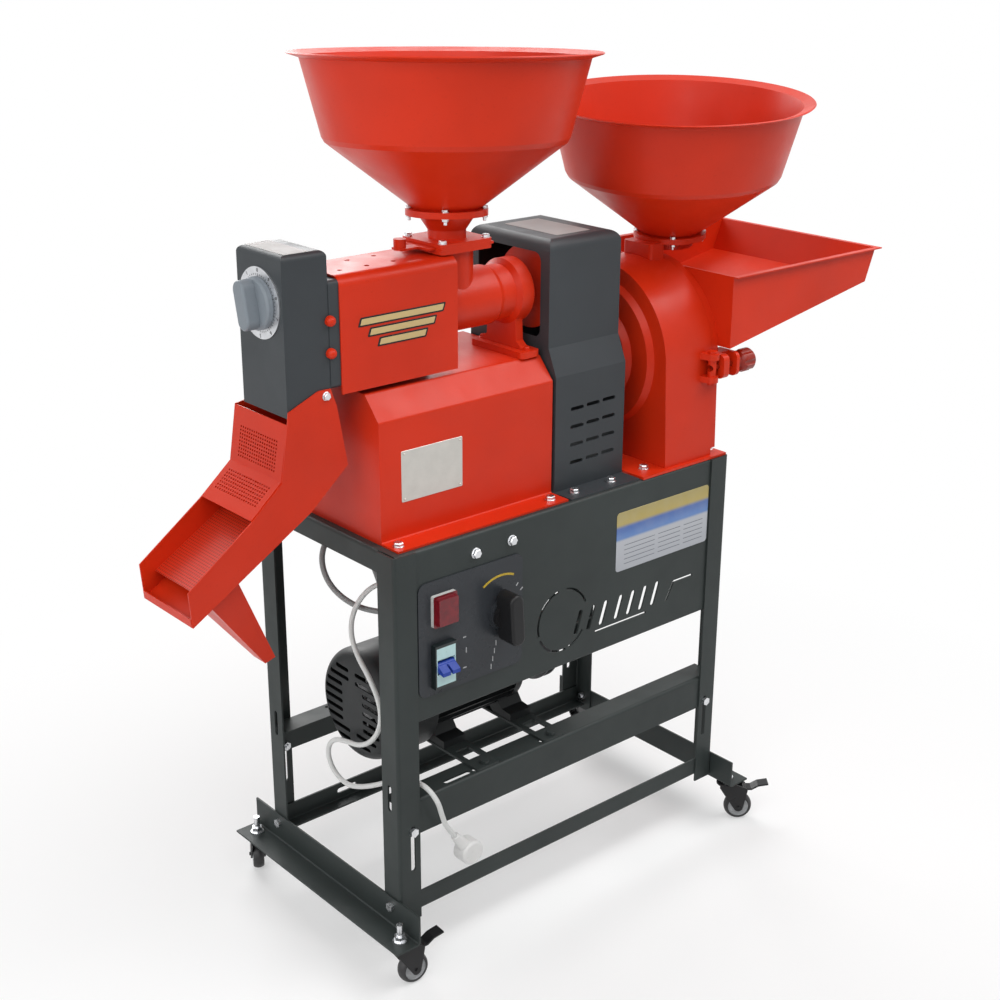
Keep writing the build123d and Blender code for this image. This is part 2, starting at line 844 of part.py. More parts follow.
# Inlet barrel: casting with an upright inlet, two flanges, a bearing end and a foot
barrel_right = -8.0
with BuildPart() as inlet_barrel:
    with BuildSketch(turned(mill_y, mill_z)):
        with BuildLine():
            Polyline(
                (barrel_left, 0),
                (barrel_left, 50),
                (barrel_left + 9, 50),
                (barrel_left + 12, 45),
                (-72, 45),
                (-64, 42),
                (-40, 42),
                (-34, 50),
                (barrel_right - 4, 50),
                (barrel_right, 46),
                (barrel_right, 0),
                (barrel_left, 0),
            )
        make_face()
    revolve(axis=shaft_axis(mill_y, mill_z))
    with BuildSketch(level(mill_z)):
        with Locations((inlet_x, mill_y)):
            Circle(inlet_radius)
    extrude(amount=table_height + inlet_top - mill_z)
    with BuildSketch(level(table_height + inlet_top)):
        with Locations((inlet_x, mill_y)):
            RectangleRounded(96, 96, 8)
    extrude(amount=6)
    with BuildSketch(level(mill_base_top)):
        with Locations((-27, mill_y)):
            RectangleRounded(38, 122, 8)
    extrude(amount=10)
    with BuildSketch(across(-34)):
        with BuildLine():
            Polyline(
                (mill_y - 50, mill_base_top + 9),
                (mill_y - 34, mill_base_top + 22),
                (mill_y - 30, mill_z),
                (mill_y + 30, mill_z),
                (mill_y + 34, mill_base_top + 22),
                (mill_y + 50, mill_base_top + 9),
                (mill_y - 50, mill_base_top + 9),
            )
        make_face()
    extrude(amount=14)
    with BuildSketch(turned(mill_y, mill_z)):
        with BuildLine():
            Polyline(
                (barrel_left, 0),
                (barrel_left, 34),
                (-52, 34),
                (-52, mill_shaft_radius + running_fit),
                (barrel_right, mill_shaft_radius + running_fit),
                (barrel_right, 0),
                (barrel_left, 0),
            )
        make_face()
    revolve(axis=shaft_axis(mill_y, mill_z), mode=Mode.SUBTRACT)
    with BuildSketch(level(mill_z)):
        with Locations((inlet_x, mill_y)):
            Circle(inlet_bore)
    extrude(amount=table_height + inlet_top + 6 - mill_z, mode=Mode.SUBTRACT)
save(inlet_barrel, "inlet_barrel")

# Feed gate: flat slide with a bent handle, between the runners of the neck
gate_z = table_height + inlet_top + 6
with BuildPart() as feed_gate:
    with BuildSketch(level(gate_z + seat_gap)):
        with Locations((inlet_x - 14, mill_y)):
            Rectangle(92, 2 * gate_half)
        with Locations((inlet_x - 72, mill_y)):
            Rectangle(40, 22)
    extrude(amount=gate_thickness)
    with BuildSketch(level(gate_z + seat_gap)):
        with Locations((inlet_x - 86, mill_y)):
            Circle(9)
    extrude(amount=16)
save(feed_gate, "feed_gate")

neck_z = gate_z + gate_thickness + 2 * seat_gap
neck_plate = 5.0
neck_bore = 25.0
mill_inlet = leaning(inlet_x, mill_y, table_height + hopper_flange_rise, mill_hopper_lean)
neck_depth = table_height + hopper_flange_rise - neck_z - neck_plate / 2
with BuildPart() as hopper_neck:
    with BuildSketch(level(gate_z)):
        with Locations((inlet_x, mill_y - 41), (inlet_x, mill_y + 41)):
            Rectangle(96, 2 * (41 - gate_half - slide_gap))
    extrude(amount=neck_z - gate_z)
    with BuildSketch(level(neck_z)):
        with Locations((inlet_x, mill_y)):
            RectangleRounded(96, 96, 8)
    extrude(amount=neck_plate)
    with BuildSketch(half_section(mill_inlet)):
        with BuildLine():
            Polyline(
                (0, -neck_depth),
                (neck_bore + 3, -neck_depth),
                (neck_bore + 3, -27),
                (hopper_mouth, -6),
                (hopper_flange_radius, -6),
                (hopper_flange_radius, 0),
                (0, 0),
                (0, -neck_depth),
            )
        make_face()
    revolve(axis=Axis(mill_inlet.origin, mill_inlet.z_dir))
    with BuildSketch(half_section(mill_inlet)):
        with BuildLine():
            Polyline(
                (0, -neck_depth - neck_plate),
                (neck_bore, -neck_depth - neck_plate),
                (neck_bore, -27),
                (hopper_mouth - 2, 0),
                (0, 0),
                (0, -neck_depth - neck_plate),
            )
        make_face()
    revolve(axis=Axis(mill_inlet.origin, mill_inlet.z_dir), mode=Mode.SUBTRACT)
save(hopper_neck, "hopper_neck")

# Hoppers: spun sheet with a flange, a cone, a steep skirt and a flared rim
crusher_inlet = leaning(
    crusher_hopper_x, crusher_hopper_y, table_height + crusher_hopper_rise, crusher_hopper_lean
)
for name, seat in {"mill_hopper": mill_inlet, "crusher_hopper": crusher_inlet}.items():
    with BuildPart() as hopper:
        with BuildSketch(half_section(seat)):
            with BuildLine():
                Polyline(
                    (hopper_mouth, 0),
                    (hopper_flange_radius, 0),
                    (hopper_flange_radius, 3),
                    (hopper_mouth + 7, 3),
                    (hopper_break_radius - 4, hopper_break_rise - 4),
                    (hopper_break_radius, hopper_break_rise + 3),
                    (hopper_top_radius, hopper_top_rise),
                    (hopper_rim_radius, hopper_rise - 3),
                    (hopper_rim_radius + 1.5, hopper_rise - 1.5),
                    (hopper_rim_radius, hopper_rise),
                    (hopper_top_radius - 2, hopper_top_rise + hopper_wall),
                    (hopper_break_radius - hopper_wall - 0.4, hopper_break_rise + 4),
                    (hopper_break_radius - 6, hopper_break_rise - 2),
                    (hopper_mouth, 3.5),
                    (hopper_mouth, 0),
                )
            make_face()
        revolve(axis=Axis(seat.origin, seat.z_dir))
    save(hopper, name)

# Outlet head: hollow casting open below, with the plate that joins it to the chamber
dial_z = table_height + dial_rise
head_z0 = table_height + head_foot
head_z1 = table_height + head_top
with BuildPart() as outlet_head:
    with BuildSketch(across(head_left)):
        with Locations((mill_y, (head_z0 + head_z1) / 2)):
            Rectangle(2 * head_half, head_z1 - head_z0)
    extrude(amount=head_right - head_left)
    fillet(outlet_head.edges().group_by(Axis.Z)[-1], radius=9)
    with BuildSketch(across(head_left + head_wall)):
        with Locations((mill_y, (head_z0 + head_z1 - head_wall) / 2)):
            Rectangle(2 * (head_half - head_wall), head_z1 - head_z0 - head_wall)
    extrude(amount=head_right - head_left - 2 * head_wall, mode=Mode.SUBTRACT)
    with BuildSketch(across(head_right)):
        with Locations((mill_y, mill_z)):
            RectangleRounded(2 * casing_half - 4, 150, 6)
    extrude(amount=casing_left - head_right)
    with BuildSketch(across(head_right - head_wall)):
        with Locations((mill_y, mill_z)):
            Circle(screen_radius - 4)
    extrude(amount=casing_left - head_right + head_wall, mode=Mode.SUBTRACT)
    with BuildSketch(across(head_left)):
        with Locations((mill_y, dial_z)):
            Circle(6 + running_fit)
    extrude(amount=head_wall, mode=Mode.SUBTRACT)
save(outlet_head, "outlet_head")

with BuildPart() as dial_plate:
    with BuildSketch(across(head_left - 2)):
        with Locations((mill_y, dial_z)):
            Circle(49)
            Circle(6 + running_fit, mode=Mode.SUBTRACT)
    extrude(amount=2)
save(dial_plate, "dial_plate")

with BuildPart() as dial_knob:
    with BuildSketch(turned(mill_y, dial_z)):
        with BuildLine():
            Polyline(
                (head_left + 46, 0),
                (head_left + 46, 5),
                (head_left + head_wall + 2, 5),
                (head_left + head_wall + 2, 6),
                (head_left - 2 - seat_gap, 6),
                (head_left - 2 - seat_gap, 36),
                (head_left - 9, 36),
                (head_left - 12, 33),
                (head_left - 12, 0),
                (head_left + 46, 0),
            )
        make_face()
    revolve(axis=shaft_axis(mill_y, dial_z))
    with BuildSketch(across(head_left - 12)):
        with Locations((mill_y, dial_z)):
            SlotOverall(68, 26, rotation=78)
    extrude(amount=-20)
    fillet(dial_knob.edges().group_by(Axis.X)[0], radius=4)
save(dial_knob, "dial_knob")

# Pressure plate inside the head: drawn along by the screw of the knob
plate_x = head_right - head_wall - 12
with BuildPart() as pressure_plate:
    with BuildSketch(across(plate_x)):
        with Locations((mill_y, (mill_z + dial_z) / 2)):
            RectangleRounded(80, 128, 8)
    extrude(amount=5)
    with BuildSketch(across(plate_x - 26)):
        with Locations((mill_y, dial_z)):
            Circle(9)
    extrude(amount=26)
    with BuildSketch(across(plate_x - 26)):
        with Locations((mill_y, dial_z)):
            Circle(5 + running_fit)
    extrude(amount=24, mode=Mode.SUBTRACT)
save(pressure_plate, "pressure_plate")

# Outlet chute: side walls, covering panels, open trough with lip, and the bran spout below
chute_spread = 20.0
chute_wall = 2.0
chute_front = mill_y - head_half - seat_gap
chute_back = mill_y + head_half + chute_spread
chute_middle = (chute_front + chute_back) / 2
panel_top = (-461, 200)
panel_fold = (-474.5, 121)
panel_edge = (-525, 77)
trough_back = (-366, 123.5)
trough_fold = (-428.5, 69)
trough_end = (-625, -50)
wall_outline = [(-381, 213), (-365, 123), (-428, 68), (-625, -51), (-629, 1), (-526, 76), (-475, 120), (-462, 201)]
tab_outline = [(-460, 217), (-410, 238), (-390, 238)]
with BuildPart() as chute:
    with BuildSketch(above_table(chute_back + chute_wall)):
        Polygon(*wall_outline, align=None)
    extrude(amount=chute_wall)
    with BuildSketch(above_table(chute_front)):
        Polygon(*wall_outline, *tab_outline, align=None)
    extrude(amount=chute_wall)
    with BuildSketch(above_table(chute_back)):
        with BuildLine():
            Polyline(panel_top, panel_fold, panel_edge)
        trace(line_width=chute_wall)
    extrude(amount=chute_back - chute_front)
    for low, high, share, columns, rows in (
        (panel_fold, panel_top, 0.40, 17, 9),
        (panel_edge, panel_fold, 0.55, 19, 7),
    ):
        run_x, run_z = high[0] - low[0], high[1] - low[1]
        zone = Plane(
            origin=(low[0] + share * run_x, chute_middle, table_height + low[1] + share * run_z),
            x_dir=(0, 1, 0),
            z_dir=(-run_z, 0, run_x),
        )
        with BuildSketch(zone.offset(-chute_wall)):
            with GridLocations(5.6, 5.2, columns, rows):
                Circle(1.6)
        extrude(amount=2 * chute_wall, mode=Mode.SUBTRACT)
    with BuildSketch(above_table(chute_back)):
        with BuildLine():
            Polyline((-382, 212), trough_back, trough_fold, trough_end)
        trace(line_width=chute_wall)
        with BuildLine():
            Polyline(trough_end, (trough_end[0] - 1, trough_end[1] + 12))
        trace(line_width=chute_wall)
    extrude(amount=chute_back - chute_front)
    spout_root = Plane(
        origin=(-569, chute_middle, table_height - 16.3),
        x_dir=(0.856, 0, 0.517),
        z_dir=(0.517, 0, -0.856),
    )
    spout_tip = Plane(
        origin=(-481, chute_middle - 8, table_height - 160),
        x_dir=(0.958, 0, 0.285),
        z_dir=(0.285, 0, -0.958),
    )
    with BuildSketch(spout_root):
        Rectangle(54, 96)
    with BuildSketch(spout_tip):
        Rectangle(18, 30)
    loft()
    with BuildSketch(spout_root.offset(-3)):
        with Locations((6, 0)):
            Rectangle(58, 92)
    with BuildSketch(spout_tip.offset(1)):
        with Locations((4, 0)):
            Rectangle(22, 26)
    loft(mode=Mode.SUBTRACT)
save(chute, "chute")

with BuildPart() as chute_sieve:
    with BuildSketch(above_table(chute_back - seat_gap)):
        with BuildLine():
            Line((-452, 79), (-606, -14))
        trace(line_width=1.5)
    extrude(amount=chute_back - chute_front - 2 * seat_gap)
save(chute_sieve, "chute_sieve")

# Belt guard: folded shell open below, with a wide opening facing the mill
guard_right = 148.0
guard_sheet = 2.5
guard_outline = [
    (-126, 0),
    (-126, 187),
    (-108, 229),
    (-108, 392),
    (75, 392),
    (75, 0),
]
guard_inside = [
    (-126 + guard_sheet, -1),
    (-126 + guard_sheet, 186.5),
    (-108 + guard_sheet, 228.5),
    (-108 + guard_sheet, 392 - guard_sheet),
    (75 - guard_sheet, 392 - guard_sheet),
    (75 - guard_sheet, -1),
]
with BuildPart() as guard_room:
    with BuildSketch(across(guard_sheet)):
        Polygon(*[(y, table_height + z) for y, z in guard_inside], align=None)
    extrude(amount=guard_right - 2 * guard_sheet)
    fillet(guard_room.edges().group_by(Axis.Z)[-1], radius=14)
with BuildPart() as belt_guard:
    with BuildSketch(across(0)):
        Polygon(*[(y, table_height + z) for y, z in guard_outline], align=None)
    extrude(amount=guard_right)
    fillet(belt_guard.edges().group_by(Axis.Z)[-1], radius=14 + guard_sheet)
    add(guard_room.part, mode=Mode.SUBTRACT)
    with BuildSketch(level(table_height)):
        with Locations((guard_right / 2, -145.5)):
            Rectangle(guard_right, 40)
        with Locations((guard_right / 2, 119)):
            Rectangle(guard_right, 90)
    extrude(amount=guard_sheet)
    with BuildSketch(across(0)):
        with Locations((-16, mill_z - 4)):
            RectangleRounded(144, 130, 14)
    extrude(amount=guard_sheet, mode=Mode.SUBTRACT)
    with BuildSketch(across(guard_right - guard_sheet)):
        with Locations((crusher_y, crusher_z)):
            Circle(40)
    extrude(amount=guard_sheet, mode=Mode.SUBTRACT)
    with BuildSketch(along(-126)):
        for row in range(4):
            with Locations(
                (46, table_height + 44 + 29 * row),
                (80, table_height + 45 + 29 * row),
                (114, table_height + 46 + 29 * row),
            ):
                SlotOverall(28, 6)
    extrude(amount=-guard_sheet, mode=Mode.SUBTRACT)
save(belt_guard, "belt_guard")

# Crusher housing: arched casting on a base flange, stepped back with a bearing tube, hinge and clamp lugs
flange_thickness = 4.0
spout_x = 256.0
hinge_x = crusher_right + seat_gap + door_thickness / 2
clamp_z = table_height + clamp_rise
hinge_low = table_height + 42
hinge_high = table_height + 168
with BuildPart() as crusher_housing:
    with BuildSketch(level(table_height)):
        with Locations((250, 0)):
            Rectangle(196, frame_depth - 2 * sheet - 2)
    extrude(amount=flange_thickness)
    with BuildSketch(across(crusher_left)):
        with Locations((crusher_y, crusher_z)):
            Circle(crusher_radius)
        Polygon(
            (crusher_y - crusher_foot_half, table_height + 1),
            (crusher_y - crusher_radius, crusher_z),
            (crusher_y + crusher_radius, crusher_z),
            (crusher_y + crusher_foot_half, table_height + 1),
            align=None,
        )
    extrude(amount=crusher_right - crusher_left)
    with BuildSketch(turned(crusher_y, crusher_z)):
        with BuildLine():
            Polyline(
                (crusher_left + 2, 0),
                (crusher_left + 2, 126),
                (crusher_left - 10, 118),
                (crusher_left - 10, 84),
                (crusher_left - 22, 78),
                (crusher_left - 22, 40),
                (crusher_left - 30, 32),
                (155, 32),
                (155, 0),
                (crusher_left + 2, 0),
            )
        make_face()
    revolve(axis=shaft_axis(crusher_y, crusher_z))
    with BuildSketch(level(crusher_z + crusher_radius - crusher_wall + 1)):
        with Locations((crusher_right - 18, crusher_hopper_y)):
            RectangleRounded(34, 64, 6)
    extrude(amount=crusher_hopper_rise - crusher_rise - crusher_radius + crusher_wall - 8)
    with BuildSketch(crusher_inlet):
        Circle(hopper_flange_radius)
    extrude(amount=-6)
    with BuildSketch(crusher_inlet):
        Circle(hopper_mouth - 3)
    extrude(amount=-20)
    for lug_z in (hinge_low, hinge_high - 18):
        with BuildSketch(level(lug_z)):
            with Locations((hinge_x, hinge_y)):
                Circle(11)
            with Locations((hinge_x - 18, hinge_y)):
                Rectangle(36, 20)
            with Locations((crusher_right - 16, hinge_y - 14)):
                Rectangle(28, 48)
        extrude(amount=18)
    with BuildSketch(level(hinge_low)):
        with Locations((hinge_x, hinge_y)):
            Circle(6)
    extrude(amount=hinge_high - hinge_low)
    for lug_z in (clamp_z - 24, clamp_z + 14):
        with BuildSketch(level(lug_z)):
            with Locations((crusher_right - 13, clamp_y)):
                Circle(11)
            with Locations((crusher_right - 15, clamp_y + 24)):
                Rectangle(28, 20)
            make_hull()
        extrude(amount=10)
    with BuildSketch(level(clamp_z - 28)):
        with Locations((crusher_right - 13, clamp_y)):
            Circle(7)
    extrude(amount=56)
    with BuildSketch(across(crusher_left + crusher_wall)):
        with Locations((crusher_y, crusher_z)):
            Circle(crusher_radius - crusher_wall)
    extrude(amount=crusher_right - crusher_left, mode=Mode.SUBTRACT)
    with BuildSketch(level(table_height)):
        with Locations((spout_x, crusher_y)):
            Circle(42)
    extrude(amount=60, mode=Mode.SUBTRACT)
    with BuildSketch(crusher_inlet):
        Circle(hopper_mouth - 6)
    extrude(amount=-30, mode=Mode.SUBTRACT)
    with BuildSketch(across(150)):
        with Locations((crusher_y, crusher_z)):
            Circle(crusher_shaft_radius + running_fit)
    extrude(amount=90, mode=Mode.SUBTRACT)
    with BuildSketch(across(crusher_right - 30)):
        with Locations((clamp_y, clamp_z)):
            Circle(6)
    extrude(amount=40, mode=Mode.SUBTRACT)
save(crusher_housing, "crusher_housing")

# Door of the crusher: carries the tray and the clamp screw, swings on the rear pin
door_left = crusher_right + seat_gap
door_right = door_left + door_thickness
with BuildPart() as crusher_door:
    with BuildSketch(across(door_left)):
        with Locations((crusher_y, crusher_z)):
            Circle(crusher_radius)
        Polygon(
            (crusher_y - crusher_radius - 4, table_height + 14),
            (crusher_y - crusher_radius, crusher_z),
            (crusher_y + crusher_radius, crusher_z),
            (crusher_y + crusher_radius + 4, table_height + 14),
            align=None,
        )
        with Locations((crusher_y - 20, crusher_z + 78)):
            RectangleRounded(150, 70, 10, mode=Mode.SUBTRACT)
    extrude(amount=door_thickness)
    with BuildSketch(level(hinge_low + 18 + seat_gap)):
        with Locations((hinge_x, hinge_y)):
            Circle(12)
        with Locations((hinge_x, hinge_y - 22)):
            Rectangle(door_thickness, 24)
    extrude(amount=hinge_high - hinge_low - 36 - 2 * seat_gap)
    with BuildSketch(across(door_left)):
        with Locations((clamp_y + 12, clamp_z)):
            RectangleRounded(52, 40, 10)
    extrude(amount=door_thickness + 24)
    with BuildSketch(level(clamp_z)):
        with Locations((door_right + 8, clamp_y - 4)):
            Rectangle(18, 20)
    extrude(amount=30, both=True, mode=Mode.SUBTRACT)
    with BuildSketch(level(hinge_low)):
        with Locations((hinge_x, hinge_y)):
            Circle(6 + running_fit)
    extrude(amount=hinge_high - hinge_low, mode=Mode.SUBTRACT)
    with BuildSketch(across(door_left)):
        with Locations((clamp_y, clamp_z)):
            Circle(5 + running_fit)
    extrude(amount=door_thickness + 30, mode=Mode.SUBTRACT)
save(crusher_door, "crusher_door")

with BuildPart() as clamp_screw:
    with BuildSketch(across(crusher_right - 10)):
        with Locations((clamp_y, clamp_z)):
            Circle(5)
    extrude(amount=door_thickness + 40)
    with BuildSketch(turned(clamp_y, clamp_z)):
        with BuildLine():
            Polyline(
                (door_right + 24 + seat_gap, 0),
                (door_right + 24 + seat_gap, 10),
                (door_right + 32, 11),
                (door_right + 36, 17),
                (door_right + 40, 19),
                (door_right + 58, 19),
                (door_right + 62, 16),
                (door_right + 62, 0),
                (door_right + 24 + seat_gap, 0),
            )
        make_face()
    revolve(axis=shaft_axis(clamp_y, clamp_z))
    with BuildSketch(across(door_right + 34)):
        with Locations((clamp_y, clamp_z)):
            with PolarLocations(22, 6):
                Circle(6)
    extrude(amount=40, mode=Mode.SUBTRACT)
save(clamp_screw, "clamp_screw")

# Feed tray: open sheet box whose floor falls towards the door
tray_front = -180.0
tray_back = 172.0
tray_top = table_height + 304
tray_wall = 2.0
with BuildPart() as tray_room:
    with BuildSketch(along(tray_back - tray_wall)):
        Polygon(
            (door_right + tray_wall, tray_top - 113),
            (door_right + 344, tray_top - 54),
            (door_right + 371, tray_top + 10),
            (door_right + tray_wall, tray_top + 10),
            align=None,
        )
    extrude(amount=tray_back - tray_front - 2 * tray_wall)
with BuildPart() as feed_tray:
    with BuildSketch(along(tray_back)):
        Polygon(
            (door_right, tray_top - 118),
            (door_right + 346, tray_top - 57),
            (door_right + 368, tray_top),
            (door_right, tray_top),
            align=None,
        )
    extrude(amount=tray_back - tray_front)
    with BuildSketch(level(tray_top - tray_wall)):
        with Locations((door_right + 184, (tray_front + tray_back) / 2)):
            Rectangle(384, tray_back - tray_front + 16)
        with Locations((door_right - 50, (tray_front + tray_back) / 2)):
            Rectangle(100, tray_back - tray_front + 40, mode=Mode.SUBTRACT)
    extrude(amount=tray_wall)
    add(tray_room.part, mode=Mode.SUBTRACT)
    with BuildSketch(across(door_right)):
        with Locations((crusher_y - 20, crusher_z + 78)):
            RectangleRounded(150, 70, 10)
    extrude(amount=tray_wall, mode=Mode.SUBTRACT)
save(feed_tray, "feed_tray")

# Crusher rotor with its hammers, the sieve ring and the spout below
with BuildPart() as crusher_rotor:
    with BuildSketch(across(crusher_belt_x - 18)):
        with Locations((crusher_y, crusher_z)):
            Circle(crusher_shaft_radius)
    extrude(amount=crusher_right - 10 - crusher_belt_x + 18)
    for disc_x in (238, 262, 286):
        with BuildSketch(across(disc_x)):
            with Locations((crusher_y, crusher_z)):
                Circle(82)
        extrude(amount=6)
    with BuildSketch(across(236)):
        with Locations((crusher_y, crusher_z)):
            with PolarLocations(70, 4):
                Circle(6)
            with PolarLocations(94, 4):
                Rectangle(62, 20)
    extrude(amount=58)
save(crusher_rotor, "crusher_rotor")

sieve_radius = crusher_radius - crusher_wall - seat_gap
with BuildPart() as crusher_sieve:
    with BuildSketch(across(crusher_left + crusher_wall + seat_gap)):
        with Locations((crusher_y, crusher_z)):
            Circle(sieve_radius)
            Circle(sieve_radius - 2, mode=Mode.SUBTRACT)
            with Locations((0, 70)):
                Rectangle(300, 200, mode=Mode.SUBTRACT)
    extrude(amount=crusher_right - crusher_left - crusher_wall - 2 * seat_gap)
save(crusher_sieve, "crusher_sieve")

with BuildPart() as discharge_spout:
    with BuildSketch(level(table_height)):
        with Locations((spout_x, crusher_y)):
            Circle(50)
            Circle(42, mode=Mode.SUBTRACT)
    extrude(amount=-3)
    with BuildSketch(level(table_height)):
        with Locations((spout_x, crusher_y)):
            Circle(45)
            Circle(42, mode=Mode.SUBTRACT)
    extrude(amount=-53)
save(discharge_spout, "discharge_spout")

# Control plate with the bush of the rotary switch
with BuildPart() as control_plate:
    with BuildSketch(along(-panel_face)):
        with Locations(((plate_left + plate_right) / 2, (plate_foot + plate_top) / 2)):
            RectangleRounded(plate_right - plate_left, plate_top - plate_foot, 14)
        with Locations((lamp_x, lamp_z), (selector_x, selector_z)):
            Circle(11, mode=Mode.SUBTRACT)
        with Locations((breaker_x, breaker_z)):
            Rectangle(breaker_width + 2 * seat_gap, breaker_height + 2 * seat_gap, mode=Mode.SUBTRACT)
    extrude(amount=plate_thickness)
    with BuildSketch(along(front_of_plate)):
        with Locations((selector_x, selector_z)):
            Circle(24)
    extrude(amount=7)
    with BuildSketch(along(front_of_plate)):
        with Locations((selector_x, selector_z)):
            Circle(5 + running_fit)
    extrude(amount=7, mode=Mode.SUBTRACT)
save(control_plate, "control_plate")

with BuildPart() as switch_box:
    with BuildSketch(along(-panel_face + sheet + box_depth)):
        with Locations(((plate_left + plate_right) / 2, (plate_foot + plate_top) / 2)):
            RectangleRounded(plate_right - plate_left - 14, plate_top - plate_foot - 14, 6)
    extrude(amount=box_depth)
    with BuildSketch(along(-panel_face + sheet + box_depth - 2)):
        with Locations(((plate_left + plate_right) / 2, (plate_foot + plate_top) / 2)):
            RectangleRounded(plate_right - plate_left - 18, plate_top - plate_foot - 18, 4)
    extrude(amount=box_depth, mode=Mode.SUBTRACT)
save(switch_box, "switch_box")

with BuildPart() as pilot_lamp:
    with BuildSketch(along(front_of_plate)):
        with Locations((lamp_x, lamp_z)):
            RectangleRounded(44, 50, 3)
    extrude(amount=7)
    with BuildSketch(along(front_of_plate - 7)):
        with Locations((lamp_x, lamp_z)):
            RectangleRounded(38, 44, 3)
    extrude(amount=8, taper=8)
    with BuildSketch(along(front_of_plate)):
        with Locations((lamp_x, lamp_z)):
            Circle(11 - seat_gap)
    extrude(amount=-24)
save(pilot_lamp, "pilot_lamp")

breaker_front = front_of_plate - 10
with BuildPart() as breaker:
    with BuildSketch(along(front_of_plate + 46)):
        with Locations((breaker_x, breaker_z)):
            Rectangle(breaker_width, breaker_height)
    extrude(amount=56)
    with BuildSketch(along(breaker_front)):
        with Locations((breaker_x, breaker_z)):
            Rectangle(32 + 2 * seat_gap, 24)
    extrude(amount=-14, mode=Mode.SUBTRACT)
save(breaker, "breaker")

toggle_y = breaker_front + 5
with BuildPart() as breaker_toggles:
    with BuildSketch(across(breaker_x - 16)):
        with Locations((toggle_y, breaker_z)):
            Circle(7)
        Polygon(
            (toggle_y - 2, breaker_z + 6),
            (toggle_y - 18, breaker_z - 4),
            (toggle_y - 18, breaker_z - 10),
            (toggle_y - 2, breaker_z - 6),
            align=None,
        )
    extrude(amount=32)
    with BuildSketch(across(breaker_x - 2)):
        with Locations((toggle_y - 18, breaker_z - 4)):
            Rectangle(22, 34)
    extrude(amount=4, mode=Mode.SUBTRACT)
save(breaker_toggles, "breaker_toggles")

with BuildPart() as selector_handle:
    with BuildSketch(along(front_of_plate - 7 - seat_gap)):
        with Locations((selector_x, selector_z)):
            Circle(21)
    extrude(amount=7)
    with BuildSketch(along(front_of_plate - 7 - seat_gap)):
        with Locations((selector_x, selector_z)):
            SlotOverall(84, 26, rotation=94)
    extrude(amount=34)
    fillet(selector_handle.edges().group_by(Axis.Y)[0], radius=5)
    with BuildSketch(along(front_of_plate - 8)):
        with Locations((selector_x, selector_z)):
            Circle(5)
    extrude(amount=-40)
save(selector_handle, "selector_handle")


def lead(points, diameter, name):
    """Round lead along straight runs and tangent arcs, with its radii and volume printed."""
    runs = [hypot(*(b - a for a, b in zip(p, q))) for p, q in zip(points, points[1:])]
    radii = []
    for i in range(1, len(points) - 1):
        before = Vector(*points[i]) - Vector(*points[i - 1])
        after = Vector(*points[i + 1]) - Vector(*points[i])
        half_turn = radians(before.get_angle(after)) / 2
        radii.append(0.45 * min(runs[i - 1], runs[i]) / tan(half_turn))
    with BuildPart() as tube:
        with BuildLine() as route:
            FilletPolyline(*points, radius=radii)
        with BuildSketch(Plane(origin=points[0], z_dir=Vector(*points[1]) - Vector(*points[0]))):
            Circle(diameter / 2)
        sweep()
    length = sum(edge.length for edge in route.edges())
    section = pi * diameter**2 / 4
    print(name, "length", round(length), "runs", [round(r) for r in runs], "radii", [round(r) for r in radii])
    print(name, "volume over section x length", round(tube.part.volume / (section * length), 4))
    save(tube, name)


box_back = -panel_face + sheet + box_depth
mains_points = [
    (-285, box_back, 612),
    (-285, -84, 612),
    (-302, -52, 598),
    (-316, -30, 562),
    (-322, -24, 522),
    (-324, -42, 488),
    (-324, -76, 460),
    (-322, -98, 422),
    (-322, -96, 384),
    (-323, -72, 350),
    (-324, -36, 330),
    (-325, 0, 322),
    (-326, 30, 306),
    (-326, 34, 268),
    (-325, 0, 252),
    (-322, -38, 258),
    (-317, -76, 276),
    (-309, -114, 298),
    (-300, -155, 310),
    (-296, -188, 302),
    (-288, -196, 270),
    (-276, -196, 240),
    (-260, -196, 218.6667),
]
lead(mains_points, mains_diameter, "mains_lead")

motor_lead_points = [
    (-255, box_back, 552),
    (-255, -84, 552),
    (-276, -50, 546),
    (-302, -10, 550),
    (-322, 24, 576),
    (-328, 40, 616),
    (-312, 44, 650),
    (-276, 44, 658),
    (-246, 42, 628),
    (-230, 36, 580),
    (-218, 28, 530),
    (-208, 24, 490),
    (-184, 22, terminal_z),
    (-150, 22, terminal_z),
]
lead(motor_lead_points, motor_lead_diameter, "motor_lead")

# Mains plug: round angled body with a tapered sleeve and two pins
plug_way = Vector(0.6, 0, -0.8)
plug_end = Vector(*mains_points[-1])
with BuildPart() as mains_plug:
    with BuildSketch(Plane(origin=plug_end, z_dir=plug_way)):
        Circle(6.5)
    with BuildSketch(Plane(origin=plug_end + plug_way * 34, z_dir=plug_way)):
        Circle(11)
    loft()
    plug_centre = plug_end + plug_way * 46
    plug_face = Plane(origin=(plug_centre.X, plug_centre.Y - 13, plug_centre.Z), z_dir=(0, 1, 0))
    with BuildSketch(plug_face):
        Circle(20)
    extrude(amount=26)
    fillet(mains_plug.edges().group_by(Axis.Y)[0], radius=5)
    with BuildSketch(plug_face.offset(26)):
        with Locations((-9.5, 0), (9.5, 0)):
            Circle(2.4)
    extrude(amount=18)
save(mains_plug, "mains_plug")
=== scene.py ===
"""Looks of a combined rice mill and grain crusher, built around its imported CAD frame."""

